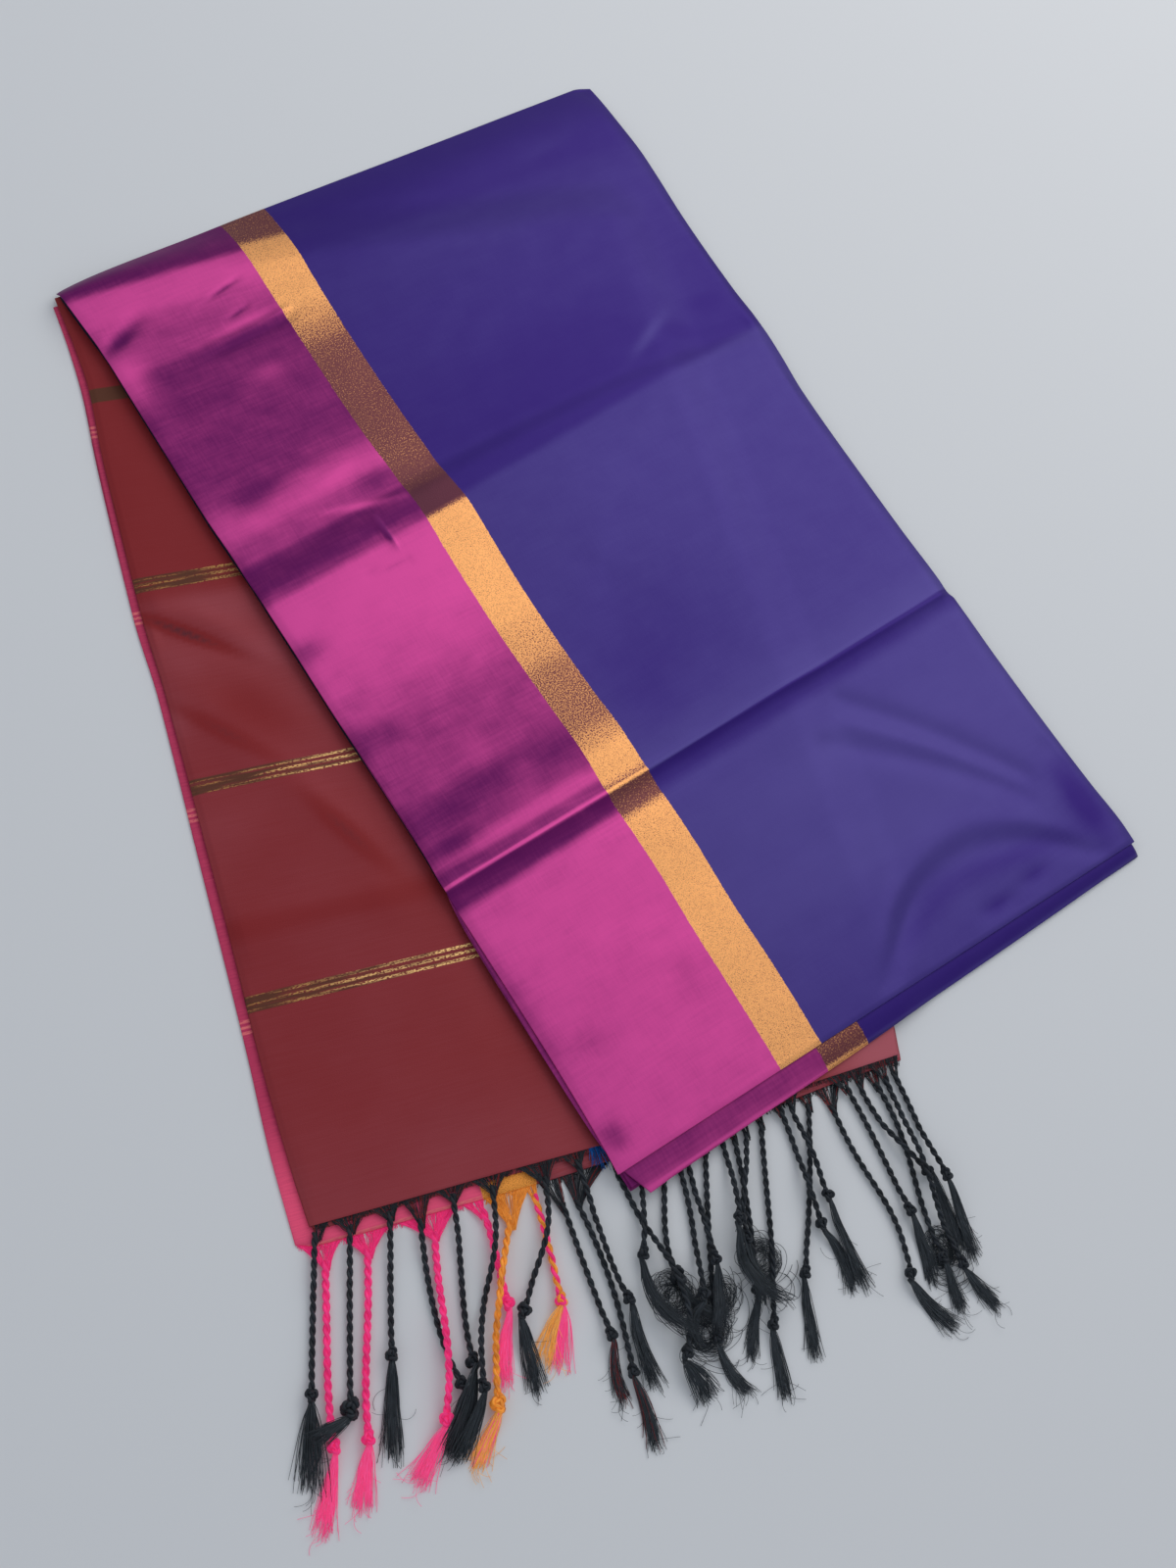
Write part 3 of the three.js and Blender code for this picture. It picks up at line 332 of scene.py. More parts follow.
ZARI_SHEEN = table(
    "left right tone",
    (0, 0, 0.02), (9, 12, 0.02), (16, 20, 0.95), (58, 60, 0.95), (72, 73, 0.66), (84, 84, 0.42),
    (98, 98, 0.12), (110, 110, 0.04), (150, 150, 0.02), (175, 175, 0.1), (196, 196, -0.12),
    (203, 202, -0.3), (216, 214, -0.3), (222, 220, 1), (290, 290, 0.98), (302, 302, 0.76),
    (318, 318, 0.66), (334, 334, 0.38), (366, 366, 0.34), (380, 380, 0.62), (390, 389, 0.95),
    (402, 401, 0.95), (408, 407, 0.4), (409.4, 408.4, 1.3), (411.6, 410.6, 0), (422, 421, 0.06),
    (431, 429, 0.9), (470, 470, 1), (586, 586, 0.92), (590, 590, 0.14), (594, 594, 0),
    (597.4, 597.2, 0.02), (599, 598.8, 1),
)
GROUND_SHEEN = table(
    "left right tone",
    (0, 0, 0.08), (28, 36, 0.1), (40, 52, 0.26), (62, 66, 0.34), (95, 95, 0.28), (125, 112, 0.26),
    (160, 140, 0.16), (190, 168, 0.12), (211, 189, 0.08), (218, 198, 0.54), (240, 230, 0.56),
    (290, 290, 0.56), (340, 340, 0.56), (385, 375, 0.62), (402, 390, 0.8), (407.5, 395.5, 0.86),
    (408.8, 396.8, 1.5), (411, 399, 0), (418, 405, 0.2), (428, 416, 0.72), (460, 450, 0.86),
    (510, 490, 0.84), (550, 530, 0.68), (586, 586, 0.56), (590, 588, 0.06), (597, 591, 0.06),
    (599, 593.4, 0.5),
)

# Soft lighter and darker patches of that painted sheen and shade, as in puckers: place, half sizes, turn in
# degrees and change.
SHEEN_PATCHES = table(
    "u v across along turn change",
    (16, 43, 13, 4.5, -22, -0.6), (5, 70, 13, 16, 0, 0.62), (50, 46, 22, 9, 0, -0.12),
    (86, 36.6, 9, 1.5, -14, -0.5), (85.5, 54.3, 6, 1.4, -12, -0.4), (86, 61.5, 24, 2.6, -4, 0.35),
    (86, 71, 26, 3, -4, -0.2), (80, 97, 13, 6, -12, 0.24), (60, 84, 20, 5, 0, 0.08),
    (12, 118, 10, 20, 0, 0.08), (82, 172, 13, 4, -14, 0.25), (98, 183, 14, 7, 8, -0.3),
    (82, 195, 22, 2.6, 13, 0.45), (86.4, 220, 1.2, 8, -5, -0.7), (76, 236, 13, 1.6, 4, -0.3),
    (9, 260, 13, 8, 0, -0.5), (36, 163, 20, 7, -8, -0.4), (17, 295, 12, 6, -10, -0.12),
    (5, 318, 9, 10, 0, -0.25), (23, 322, 12, 9, -10, -0.18), (60, 352, 10, 10, 0, 0.12),
    (97, 378, 9, 8, 0, -0.12), (24, 393, 13, 6, 0, -0.3), (40, 372, 36, 8, -6, -0.12),
    (78, 378, 10, 8, 0, 0.12), (6, 400, 26, 8, 0, -0.35), (4, 490, 8, 40, 0, -0.28),
    (24, 522, 15, 9, 0, -0.22), (92, 524, 7, 16, 0, -0.16), (9, 569, 7, 9, 0, -0.5),
    (190, 345, 52, 44, 20, -0.2), (166, 372, 20, 26, 0, -0.16), (240, 60, 70, 22, -6, 0.05),
    (240, 164, 60, 30, 0, -0.12), (330, 150, 26, 26, 0, 0.14), (302, 172, 20, 4, -26, 0.5),
    (322, 176, 9, 4.5, 24, -0.3), (352, 165, 12, 6, 10, -0.25), (322, 24, 26, 5, -10, 0.16),
    (350, 400, 26, 12, 0, 0.2), (362, 548, 10, 22, 0, -0.8), (240, 508, 60, 18, 0, 0.14),
    (300, 556, 56, 7, 8, -0.3), (236, 558, 26, 7, -16, -0.25), (276, 574, 10, 4, 0, -0.35),
    (308, 571, 9, 4, 0, -0.35), (225, 455, 40, 14, -20, 0.12),
)

# Painted sheen and shade of the end piece's silk: its tone at each distance down it.
PALLU_TONE = table(
    "y tone",
    (6, 0.06), (-120, 0.07), (-188, 0.1), (-198, 0.3), (-262, 0.32), (-300, 0.28), (-376, 0.25),
    (-386, 0.08), (-396, 0.25), (-480, 0.24), (-525, 0.36), (-551, 0.38),
)
# Patches of that painted sheen and shade, such as the painted shade along the crease from the left edge:
# place, half sizes, turn in degrees and change.
PALLU_PATCHES = table(
    "u v across along turn change",
    (24, -215, 26, 3, -34, -0.8), (50, -203, 26, 11, -20, 0.18), (64, -233, 20, 10, -35, 0.14),
    (18, -232, 13, 9, -34, 0.1), (50, -268, 24, 15, -40, -0.26), (30, -276, 28, 4, -42, -0.42),
    (9, -262, 7, 14, 0, 0.12), (20, -327, 22, 14, 0, 0.1), (80, -346, 26, 4.5, -57, -0.45),
)


def smooth(t):
    """An even step from 0 to 1."""
    c = np.clip(t, 0, 1)
    return c * c * (3 - 2 * c)


def read(rows, at, column):
    """A column of a table at places between its rows, along a smooth line that never overshoots."""
    x, y = next(iter(rows.values())), rows[column]
    if x[0] > x[-1]:
        x, y = x[::-1], y[::-1]
    rise = np.diff(y) / np.diff(x)
    slope = np.concatenate([rise[:1], (rise[1:] + rise[:-1]) / 2, rise[-1:]])
    turns = np.concatenate([[False], rise[1:] * rise[:-1] <= 0, [False]])
    slope[turns] = 0
    limit = 3 * np.minimum(np.abs(np.append(rise, rise[-1])), np.abs(np.insert(rise, 0, rise[0])))
    slope = np.clip(slope, -limit, limit)
    at = np.clip(np.asarray(at, float), x[0], x[-1])
    i = np.clip(np.searchsorted(x, at) - 1, 0, len(x) - 2)
    width = x[i + 1] - x[i]
    t = (at - x[i]) / width
    a, b = (1 + 2 * t) * (1 - t) ** 2, t * (1 - t) ** 2
    c, d = t * t * (3 - 2 * t), t * t * (t - 1)
    return a * y[i] + b * width * slope[i] + c * y[i + 1] + d * width * slope[i + 1]


def relief(folds, u, v):
    """Height that a table of folds adds: each is a bowed line, soft or sharp, with fading ends."""
    height = np.zeros(np.broadcast(u, v).shape)
    for row in folds.values():
        f = dict(zip(FOLD_COLUMNS, row))
        du, dv = f["u2"] - f["u1"], f["v2"] - f["v1"]
        length = math.hypot(du, dv)
        t = ((u - f["u1"]) * du + (v - f["v1"]) * dv) / length**2
        side = ((v - f["v1"]) * du - (u - f["u1"]) * dv) / length
        bowed = np.abs(side + f["bow"] * 4 * t * (1 - t)) / f["width"]
        past = np.maximum(0, np.maximum(-t, t - 1)) * length
        section = np.exp(-(bowed ** (1.15 if f["sharp"] else 2)))
        height += f["height"] * section * np.exp(-((past / (1.5 * f["width"])) ** 2))
    return height


def ripple(u, v, seed, across, along, count=14):
    """Slack unevenness from a few crossing waves, about across and along millimetres long."""
    draw = np.random.default_rng(seed)
    total = np.zeros(np.broadcast(u, v).shape)
    for _ in range(count):
        angle, stretch, phase = draw.uniform(0, TURN), draw.uniform(0.6, 1.5), draw.uniform(0, TURN)
        total += np.sin(TURN * stretch * (np.cos(angle) * u / across + np.sin(angle) * v / along) + phase)
    return total / math.sqrt(count)


def body_place(u, v):
    x = BODY_CORNER[0] + u * math.cos(BODY_TURN) + v * math.sin(BODY_TURN)
    y = BODY_CORNER[1] + u * math.sin(BODY_TURN) - v * math.cos(BODY_TURN)
    return x, y


def ground_height(x, y):
    """Height of what the body rests on: the end piece, and the floor beyond its right edge and top end."""
    beyond = np.hypot(np.maximum(0, x - PALLU_RIGHT), np.maximum(0, y - PALLU_TOP_END))
    return (PALLU_HEIGHT + SEAM) * (1 - smooth(beyond / RAMP))


def soften(t):
    return 1 - (1 - np.clip(t, 0, 1)) ** 2.2


def body_left(v):
    return read(BODY_SIDES, v, "left")


def body_right(v):
    return BODY_WIDTH + read(BODY_SIDES, v, "right")


def second_left(v):
    return read(SECOND_SIDES, v, "left")


def second_right(v):
    return BODY_WIDTH + read(SECOND_SIDES, v, "right")


def second_end(u):
    return read(SECOND_END, u, "v")


def top_edge(inset=0):
    """The body's top edge as a function of u, or one that lies that share of its rounding farther in."""
    return lambda u: read(BODY_TOP_EDGE, u, "shift") + inset * read(BODY_TOP_EDGE, u, "rounding")


def stack_height(u, v):
    """Height of the top fold's underside over what the body rests on, without its creases."""
    share = (u - body_left(v)) / (body_right(v) - body_left(v))
    at_left = np.clip(share * BODY_WIDTH / 5, 0, 1)
    at_right = np.clip((1 - share) * BODY_WIDTH / 11, 0, 1)
    inward = (v - read(BODY_TOP_EDGE, u, "shift")) / read(BODY_TOP_EDGE, u, "rounding")
    return STACK * soften(inward) * (0.6 + 0.4 * soften(at_right)) * (0.85 + 0.15 * soften(at_left))


def crease_height(u, v):
    calm = smooth(v / 30) * smooth((BODY_LENGTH + 4 - v) / 12)
    calm = calm * smooth(u / 6) * smooth((BODY_WIDTH - u) / 8)
    slack = 0.16 * ripple(u, v, 11, 120, 70) + 0.05 * ripple(u, v, 12, 40, 26)
    return relief(BODY_FOLDS, u, v) * (0.25 + 0.75 * calm) + slack * calm


def top_underside(u, v, x, y):
    return ground_height(x, y) + stack_height(u, v) + crease_height(u, v)


def second_top(u, v, x, y):
    """Beyond the top fold's end the second one rounds down to its own edge."""
    end = second_end(u)
    lip = soften((end - v) / (end - BODY_LENGTH))
    ground = ground_height(x, y)
    full = top_underside(u, np.minimum(v, BODY_LENGTH), x, y) - ground - BODY_SEAM
    return ground + np.maximum(WALL + 0.1, full * (0.45 + 0.55 * lip))


def steps(start, end, step, fine=(), fine_step=1.0):
    """Places from start to end, a step apart, and closer together inside the fine stretches."""
    places = [start]
    while places[-1] < end - 1e-6:
        near = any(a <= places[-1] <= b for a, b in fine)
        places.append(places[-1] + (fine_step if near else step))
    places = np.array(places)
    return start + (places - start) * (end - start) / (places[-1] - start)


def add_object(name, data):
    obj = bpy.data.objects.new(name, data)
    bpy.context.scene.collection.objects.link(obj)
    return obj


def to_mesh(name, node, points, faces, carried, materials, finishes=0):
    """A mesh object in metres in the row frame, for a node of the CAD, with cloth coordinates and sheen."""
    mesh = bpy.data.meshes.new(name)
    placed = (np.asarray(points) + (PLAN_X, PLAN_Y, 0)) * MM
    mesh.from_pydata(placed.tolist(), [], faces)
    mesh.polygons.foreach_set("use_smooth", np.ones(len(mesh.polygons), bool))
    corner = np.empty(len(mesh.loops), np.int32)
    mesh.loops.foreach_get("vertex_index", corner)
    layer = mesh.uv_layers.new(name="cloth")
    carried = np.asarray(carried, np.float32)
    layer.data.foreach_set("uv", carried[corner, :2].ravel())
    for field, values in zip(FIELDS, carried[:, 2:].T):
        attribute = mesh.attributes.new(field, "FLOAT", "POINT")
        attribute.data.foreach_set("value", np.ascontiguousarray(values))
    for material in materials:
        mesh.materials.append(material)
    finishes = np.broadcast_to(np.asarray(finishes, np.int32), len(faces))
    mesh.polygons.foreach_set("material_index", np.ascontiguousarray(finishes))
    mesh.update()
    obj = add_object(name, mesh)
    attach(obj, "root")
    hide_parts(node)


def unit(vectors):
    return vectors / np.maximum(np.linalg.norm(vectors, axis=-1, keepdims=True), 1e-9)


def ply_rim(bulge):
    """One rounded edge, from the top of the ply to its underside."""
    return lambda span: [(share, np.full(span, bulge * out)) for share, out in PLY_RIM]


def layered_rim(plies, reach, seed, bulge=0.3):
    """Several rounded ply edges over each other, each a little farther in or out along the rim."""

    def rings(span):
        at = np.arange(span)
        offsets = [reach * ripple(at, 0 * at, seed + k, 46, 46, 6) - 0.3 * reach for k in range(plies)]
        profile = []
        for k, out in enumerate(offsets):
            if k:
                profile.append((k / plies, np.minimum(out, offsets[k - 1]) - bulge))
            profile += [((k + 0.22) / plies, out + bulge * 0.7), ((k + 0.5) / plies, out + bulge)]
            profile.append(((k + 0.78) / plies, out + bulge * 0.7))
        return profile

    return rings


def shell(name, node, places, carried, rim, material):
    """A closed ply of cloth from grids of its top and underside, joined at the edge by the rim's rings."""
    x, y, top, under = places
    columns, rows = x.shape
    index = np.arange(columns * rows).reshape(columns, rows)
    lower = columns * rows
    corners = [index[:-1, :-1], index[1:, :-1], index[1:, 1:], index[:-1, 1:]]
    faces = np.stack([c.ravel() for c in corners], 1)
    below = np.stack([c.ravel() + lower for c in (corners[0], corners[3], corners[2], corners[1])], 1)
    loop = np.concatenate([index[:, 0], index[-1, 1:], index[-2::-1, -1], index[0, -2:0:-1]])
    points = np.concatenate([np.stack([x.ravel(), y.ravel(), h.ravel()], 1) for h in (top, under)])
    edge = points[loop]
    along = unit(np.roll(edge[:, :2], -1, 0) - np.roll(edge[:, :2], 1, 0))
    turn = np.sum(edge[:, 0] * np.roll(edge[:, 1], -1) - np.roll(edge[:, 0], -1) * edge[:, 1])
    out = np.stack([along[:, 1], -along[:, 0]], 1) * np.sign(turn)
    floor = points[loop + lower, 2]
    rings = [loop]
    extra, extra_carried = [], []
    for share, reach in rim(len(loop)):
        ring = edge.copy()
        ring[:, :2] += out * reach[:, None]
        ring[:, 2] = edge[:, 2] + (floor - edge[:, 2]) * share
        rings.append(len(points) + sum(map(len, extra)) + np.arange(len(loop)))
        extra.append(ring)
        extra_carried.append(carried[loop])
    rings.append(loop + lower)
    bands = [np.stack([a, b, np.roll(b, -1), np.roll(a, -1)], 1) for a, b in zip(rings, rings[1:])]
    quads = [quad if turn > 0 else quad[:, ::-1] for quad in (faces, below, *bands)]
    points = np.concatenate([points, *extra])
    carried = np.concatenate([carried, carried, *extra_carried])
    to_mesh(f"{name}_cloth", node, points, np.concatenate(quads).tolist(), carried, [material])


def crease_lines(s):
    """Where a line across the body meets its left and right edges. Lines slant with the cross fold."""
    slant = FOLD_SLANT * smooth(s / FOLD_ROW) * smooth((BODY_LENGTH + 4 - s) / 130)
    return s, s - slant


def body_grid(step, start, left, right, end=None):
    """Places of a body ply between its own edges, finer along the cross folds."""
    rows = steps(0, BODY_LENGTH, step, FINE_ROWS, step / 2.6)
    share = steps(0, 1, step / BODY_WIDTH, FINE_COLUMNS, step / 3 / BODY_WIDTH)
    s, k = np.meshgrid(share, rows)
    left_v, right_v = crease_lines(k)
    v = (left_v + (right_v - left_v) * s).T
    across = np.broadcast_to(share[:, None] * BODY_WIDTH, v.shape)
    first = start(across)
    v = first + (v - v[:, :1]) * (BODY_LENGTH - first) / (BODY_LENGTH - v[:, :1])
    v[:, -1] = BODY_LENGTH
    if end:
        tail = np.linspace(0, 1, 9)[1:] ** 0.8
        v = np.concatenate([v, BODY_LENGTH + (end(across[:, :1]) - BODY_LENGTH) * tail], 1)
    share = share[:, None]
    u = body_left(v) + (body_right(v) - body_left(v)) * share
    u = u + (left(v) - body_left(v)) * (1 - smooth(share * 14))
    u = u + (right(v) - body_right(v)) * smooth(1 - (1 - share) * 14)
    return u, v


def stripe_coordinate(u, v, edges):
    """Distance across the cloth with its stripe's edges brought to their woven places."""
    inner, outer = read(edges, v, "inner"), read(edges, v, "outer")
    middle = STRIPE[0] + (u - inner) * (STRIPE[1] - STRIPE[0]) / (outer - inner)
    beyond = STRIPE[1] + (u - outer) * (BODY_WIDTH - STRIPE[1]) / (BODY_WIDTH - outer)
    return np.where(u < inner, u * STRIPE[0] / inner, np.where(u < outer, middle, beyond))


def sheen_field(rows, u, v, start, end):
    """Tone between the lines of a sheen table, which slant across the stripe from start to end."""
    share = np.clip((u - start) / (end - start), 0, 1)
    place = [a + (b - a) * share for a, b in zip(rows["left"], rows["right"])]
    tone = np.full(u.shape, rows["tone"][0])
    for k, change in enumerate(np.diff(rows["tone"])):
        tone += change * smooth((v - place[k]) / (place[k + 1] - place[k]))
    return tone


def sheen_patches(rows, u, v):
    change = np.zeros(u.shape)
    for x, y, across, along, turn, amount in zip(*rows.values()):
        angle = math.radians(turn)
        side = (u - x) * math.cos(angle) + (v - y) * math.sin(angle)
        down = (v - y) * math.cos(angle) - (u - x) * math.sin(angle)
        change += amount * np.exp(-((side / across) ** 2) - (down / along) ** 2)
    return change


def body_cloth(u, v, edges, first=-math.inf):
    """What the body's silk needs at each point: its place on the cloth and the painted sheen and shade of
    each stripe.
    """
    place = stripe_coordinate(u, v, edges)
    down = np.maximum(v, first)
    patches = sheen_patches(SHEEN_PATCHES, u, down)
    border = sheen_field(BORDER_SHEEN, u, down, 0, STRIPE[0]) + patches
    zari = sheen_field(ZARI_SHEEN, u, down, STRIPE[0], STRIPE[1]) + patches * 0.4
    ground = sheen_field(GROUND_SHEEN, u, down, STRIPE[1], BODY_WIDTH) + patches
    columns = [place * MM, v * MM, border, zari, ground]
    return np.stack([c.ravel() for c in columns], 1)


def plain_cloth(u, v, tone=0.5):
    """A place on the cloth and one tone for it."""
    tone = np.broadcast_to(tone, u.shape)
    return np.stack([c.ravel() for c in (u * MM, v * MM, tone, tone, tone)], 1)


def build_top_fold(silk):
    u, v = body_grid(STEPS["top"], top_edge(), body_left, body_right)
    x, y = body_place(u, v)
    under = top_underside(u, v, x, y)
    cloth = body_cloth(u, v, STRIPE_EDGES)
    places = (x, y, under + WALL, under)
    shell("body_top_fold", "body_top_fold", places, cloth, ply_rim(SINGLE_BULGE), silk)


def build_second_fold(silk):
    u, v = body_grid(STEPS["second"], top_edge(SECOND_TOP_INSET), second_left, second_right, second_end)
    x, y = body_place(u, v)
    top = second_top(u, v, x, y)
    cloth = body_cloth(u, v, SECOND_STRIPE, BODY_LENGTH + 4)
    rim = layered_rim(plies=2, reach=0.3, seed=31)
    shell("body_second_fold", "body_second_fold", (x, y, top, top - WALL), cloth, rim, silk)


def build_inner_folds(silk):
    u, v = body_grid(
        STEPS["inner"],
        top_edge(HIDDEN_TOP_INSET),
        lambda v: body_left(v) + 0.7 + 1.6 * smooth((v - 400) / 30),
        lambda v: second_right(v) - HIDDEN_SIDE_INSET,
        lambda u: BODY_LENGTH + 0.6 * (second_end(u) - BODY_LENGTH),
    )
    x, y = body_place(u, v)
    drop = 0.6 * smooth((v - BODY_LENGTH) / 3)
    top = np.maximum(second_top(u, v, x, y) - WALL - BODY_SEAM - drop, 0.6)
    outside = np.maximum(x - PALLU_RIGHT, y - PALLU_TOP_END)
    under = (PALLU_HEIGHT + SEAM) * (1 - smooth((outside - 0.7) / 3 + 0.01))
    under = np.minimum(under, top - 0.4)
    border = v > BODY_LENGTH - 1
    # Painted shade: hidden plies carry the ground tone that turns them near-black; past the top fold's end
    # they show as dark magenta.
    cloth = plain_cloth(np.where(border, u * 0.1, 150 + u * 0.5), v, np.where(border, 0.2, HIDDEN_TONE))
    rim = layered_rim(plies=9, reach=0.5, seed=51, bulge=0.28)
    shell("body_inner_folds", "body_hidden_folds", (x, y, top, under), cloth, rim, silk)


def pallu_relief(x, y):
    u = (x - BODY_CORNER[0]) * math.cos(BODY_TURN) + (y - BODY_CORNER[1]) * math.sin(BODY_TURN)
    calm = smooth(-(u + 4) / 26) * smooth((x - 6) / 8) * smooth((y + 538) / 14)
    slack = 0.15 * ripple(x, y, 21, 70, 60)
    return (relief(PALLU_FOLDS, x, y) + slack) * calm


def pallu_grid(step, hem, left, right, drop=0):
    """Places of a ply of the end piece, finer at its sides and hem. Drop pulls its top end down."""
    length = PALLU_TOP_END + PALLU_LENGTH
    rows = steps(0, length, step, ((length - HEM_BAND, length),), step / 2.5)
    share = steps(0, 1, step / PALLU_WIDTH, ((0, 0.02), (0.99, 1)), step / 4 / PALLU_WIDTH)
    s, down = np.meshgrid(share, rows, indexing="ij")
    plain = PALLU_TOP_END - down - drop * smooth(1 - down / 40)
    x = left(plain) + (right(plain) - left(plain)) * s
    y = plain + (read(HEMS, x, hem) + PALLU_LENGTH) * smooth((-515 - plain) / 32)
    return x, y


def pallu_side(column, inset=0):
    return lambda y: read(PALLU_SIDES, y, column) + inset


def pallu_tone(x, y):
    """The end piece's painted sheen and shade: it's painted lightest where it lies free beyond the body at
    the right.
    """
    return read(PALLU_TONE, y, "tone") + sheen_patches(PALLU_PATCHES, x, y) + 0.6 * smooth((x - 285) / 45)


def build_border_ply(silk):
    x, y = pallu_grid(STEPS["border"], "lower", pallu_side("border"), pallu_side("right"), 4.5)
    places = (x, y, np.full(x.shape, WALL), np.zeros(x.shape))
    rim = layered_rim(plies=2, reach=0.25, seed=41, bulge=0.36)
    shell("pallu_border_ply", "pallu_border_ply", places, plain_cloth(x, y), rim, silk)


def build_middle_ply(silk):
    x, y = pallu_grid(STEPS["middle"], "middle", pallu_side("top", 3.8), pallu_side("right", -0.8))
    under = np.full(x.shape, WALL + SEAM)
    cloth = plain_cloth(x, y, pallu_tone(x, y))
    places = (x, y, under + WALL, under)
    shell("pallu_middle_ply", "pallu_middle_ply", places, cloth, ply_rim(SINGLE_BULGE), silk)


def build_pallu_top_ply(silk):
    left = pallu_side("top")
    x, y = pallu_grid(STEPS["pallu"], "upper", left, pallu_side("right", -1.8))
    lip = WALL * smooth(1 - (x - left(y)) / LIP_WIDTH)
    raised = pallu_relief(x, y)
    top = PALLU_HEIGHT - lip * 0.6 + raised
    under = 2 * (WALL + SEAM) - lip + raised
    rim = layered_rim(plies=2, reach=0.12, seed=61)
    cloth = plain_cloth(x, y, pallu_tone(x, y))
    shell("pallu_top_ply", "pallu_top_ply", (x, y, top, under), cloth, rim, silk)


def frame_of(lines):
    """Directions along, across and up from each place of a line, or of several."""
    along = unit(np.gradient(lines, axis=-2))
    across = unit(np.cross(along, (0, 0, 1)))
    return along, across, np.cross(across, along)


class Strands:
    """Gathers the round strands of one piece. A finish is a strand's place in the piece's list of yarns."""

    def __init__(self):
        self.points, self.faces, self.uv, self.finish = [], [], [], []
        self.count = 0

    def add(self, lines, radii, sides, finish=0):
        """Strands of the same number of places: lines is strands by places by 3, and radii fits it."""
        lines = lines[None] if lines.ndim == 2 else lines
        number, places = lines.shape[:2]
        radii = np.broadcast_to(radii, (number, places))
        length = np.cumsum(np.linalg.norm(np.diff(lines, axis=1, prepend=lines[:, :1]), axis=2), 1)
        _, across, up = frame_of(lines)
        angle = TURN * np.arange(sides) / sides
        wheel = np.cos(angle)[:, None] * across[:, :, None] + np.sin(angle)[:, None] * up[:, :, None]
        points = lines[:, :, None, :] + radii[:, :, None, None] * wheel
        index = self.count + np.arange(number * places * sides).reshape(number, places, sides)
        turned = np.roll(index, -1, 2)
        quads = np.stack([index[:, :-1], turned[:, :-1], turned[:, 1:], index[:, 1:]], -1).reshape(-1, 4)
        caps = [row[::-1] for row in index[:, 0].tolist()] + index[:, -1].tolist()
        around = np.broadcast_to(angle / TURN, (number, places, sides))
        far = np.broadcast_to(length[:, :, None], (number, places, sides))
        shift = np.arange(number)[:, None, None] * STRAND_SHIFT
        self.points.append(points.reshape(-1, 3))
        self.faces += quads.tolist() + caps
        self.uv.append(np.stack([around + shift, far * MM], -1).reshape(-1, 2))
        self.finish += [finish] * (len(quads) + len(caps))
        self.count += number * places * sides

    def build(self, node, materials, slot):
        points, uv = np.concatenate(self.points), np.concatenate(self.uv)
        to_mesh(f"{node}_yarn", node, points, self.faces, uv, materials, self.finish)


def floor_line(start, reach, lean, bow, sway, step=1.0):
    """A line on the floor from a place, with a lean, a bow and a sway: places and distances along it."""
    angle = math.radians(lean)
    ahead = np.array([math.sin(angle), -math.cos(angle)])
    beside = np.array([-ahead[1], ahead[0]])
    t = np.linspace(0, 1, max(3, math.ceil(reach / step) + 1))
    off = bow * 4 * t * (1 - t) + sway * np.sin(TURN * t)
    return np.array(start) + t[:, None] * reach * ahead + off[:, None] * beside, t * reach


def hem_height(place, fringe):
    """Height of what a strand lies on where it leaves its hem: the floor, or the lowest ply and its webs."""
    if fringe.startswith("lower"):
        return np.full(len(place), FLOOR_GAP)
    web_end = np.where(place[:, 0] < LEFT_WEBS[0], LEFT_WEBS[1], read(HEMS, place[:, 0], "lower") - 4.4)
    return FLOOR_GAP + (WALL + 0.1) * smooth((place[:, 1] - web_end) / 2 + 0.5)


def lay(place, at, radius, laid, fringe, start=0.0):
    """Height of a strand laid on what is already down: it rises over each strand and falls back softly."""
    need = hem_height(place, fringe) + radius
    if laid:
        down = np.concatenate(laid)
        gap = np.hypot(place[:, :1] - down[:, 0], place[:, 1:] - down[:, 1])
        reach = np.broadcast_to(radius, at.shape)[:, None] + down[:, 3] + CLEARANCE
        over = down[:, 2] + np.sqrt(np.maximum(reach**2 - gap**2, 0))
        need = np.maximum(need, np.where(gap < reach, over, 0).max(1))
    need[0] = max(need[0], start)
    away = np.abs(at[:, None] - at[None, :])
    return (need[None, :] - SLOPE * (np.sqrt(away**2 + 9) - 3)).max(1)


def cord_radius(at, reach, radius):
    t = np.clip((at - reach + KNOT_LENGTH + 1) / (KNOT_LENGTH + 1), 0, 1)
    return radius + (KNOT_RADIUS - radius) * np.minimum(1, 1.6 * np.sin(np.pi * t))


def twist(strands, line, radius, pitch, sides, phase, finishes):
    """Two plies of yarn twisted round each other along a line."""
    _, across, up = frame_of(line)
    at = np.insert(np.cumsum(np.linalg.norm(np.diff(line, axis=0), axis=1)), 0, 0)
    for k, finish in enumerate(finishes):
        turn = TURN * at / pitch + phase + k * np.pi
        ply = line + 0.45 * radius * (np.cos(turn)[:, None] * across + np.sin(turn)[:, None] * up)
        strands.add(ply, 0.5 * radius, sides, finish)


def knot_line(centre, along, across, up, scale, roll):
    """An overhand knot drawn tight."""
    t = np.linspace(0.35, TURN + 0.35, 66)
    a, b, c = np.sin(t) + 2 * np.sin(2 * t), np.cos(t) - 2 * np.cos(2 * t), -np.sin(3 * t)
    a, b = a * math.cos(roll) - b * math.sin(roll), a * math.sin(roll) + b * math.cos(roll)
    return centre + scale * (1.25 * a[:, None] * along + 0.95 * b[:, None] * across + 1.6 * c[:, None] * up)


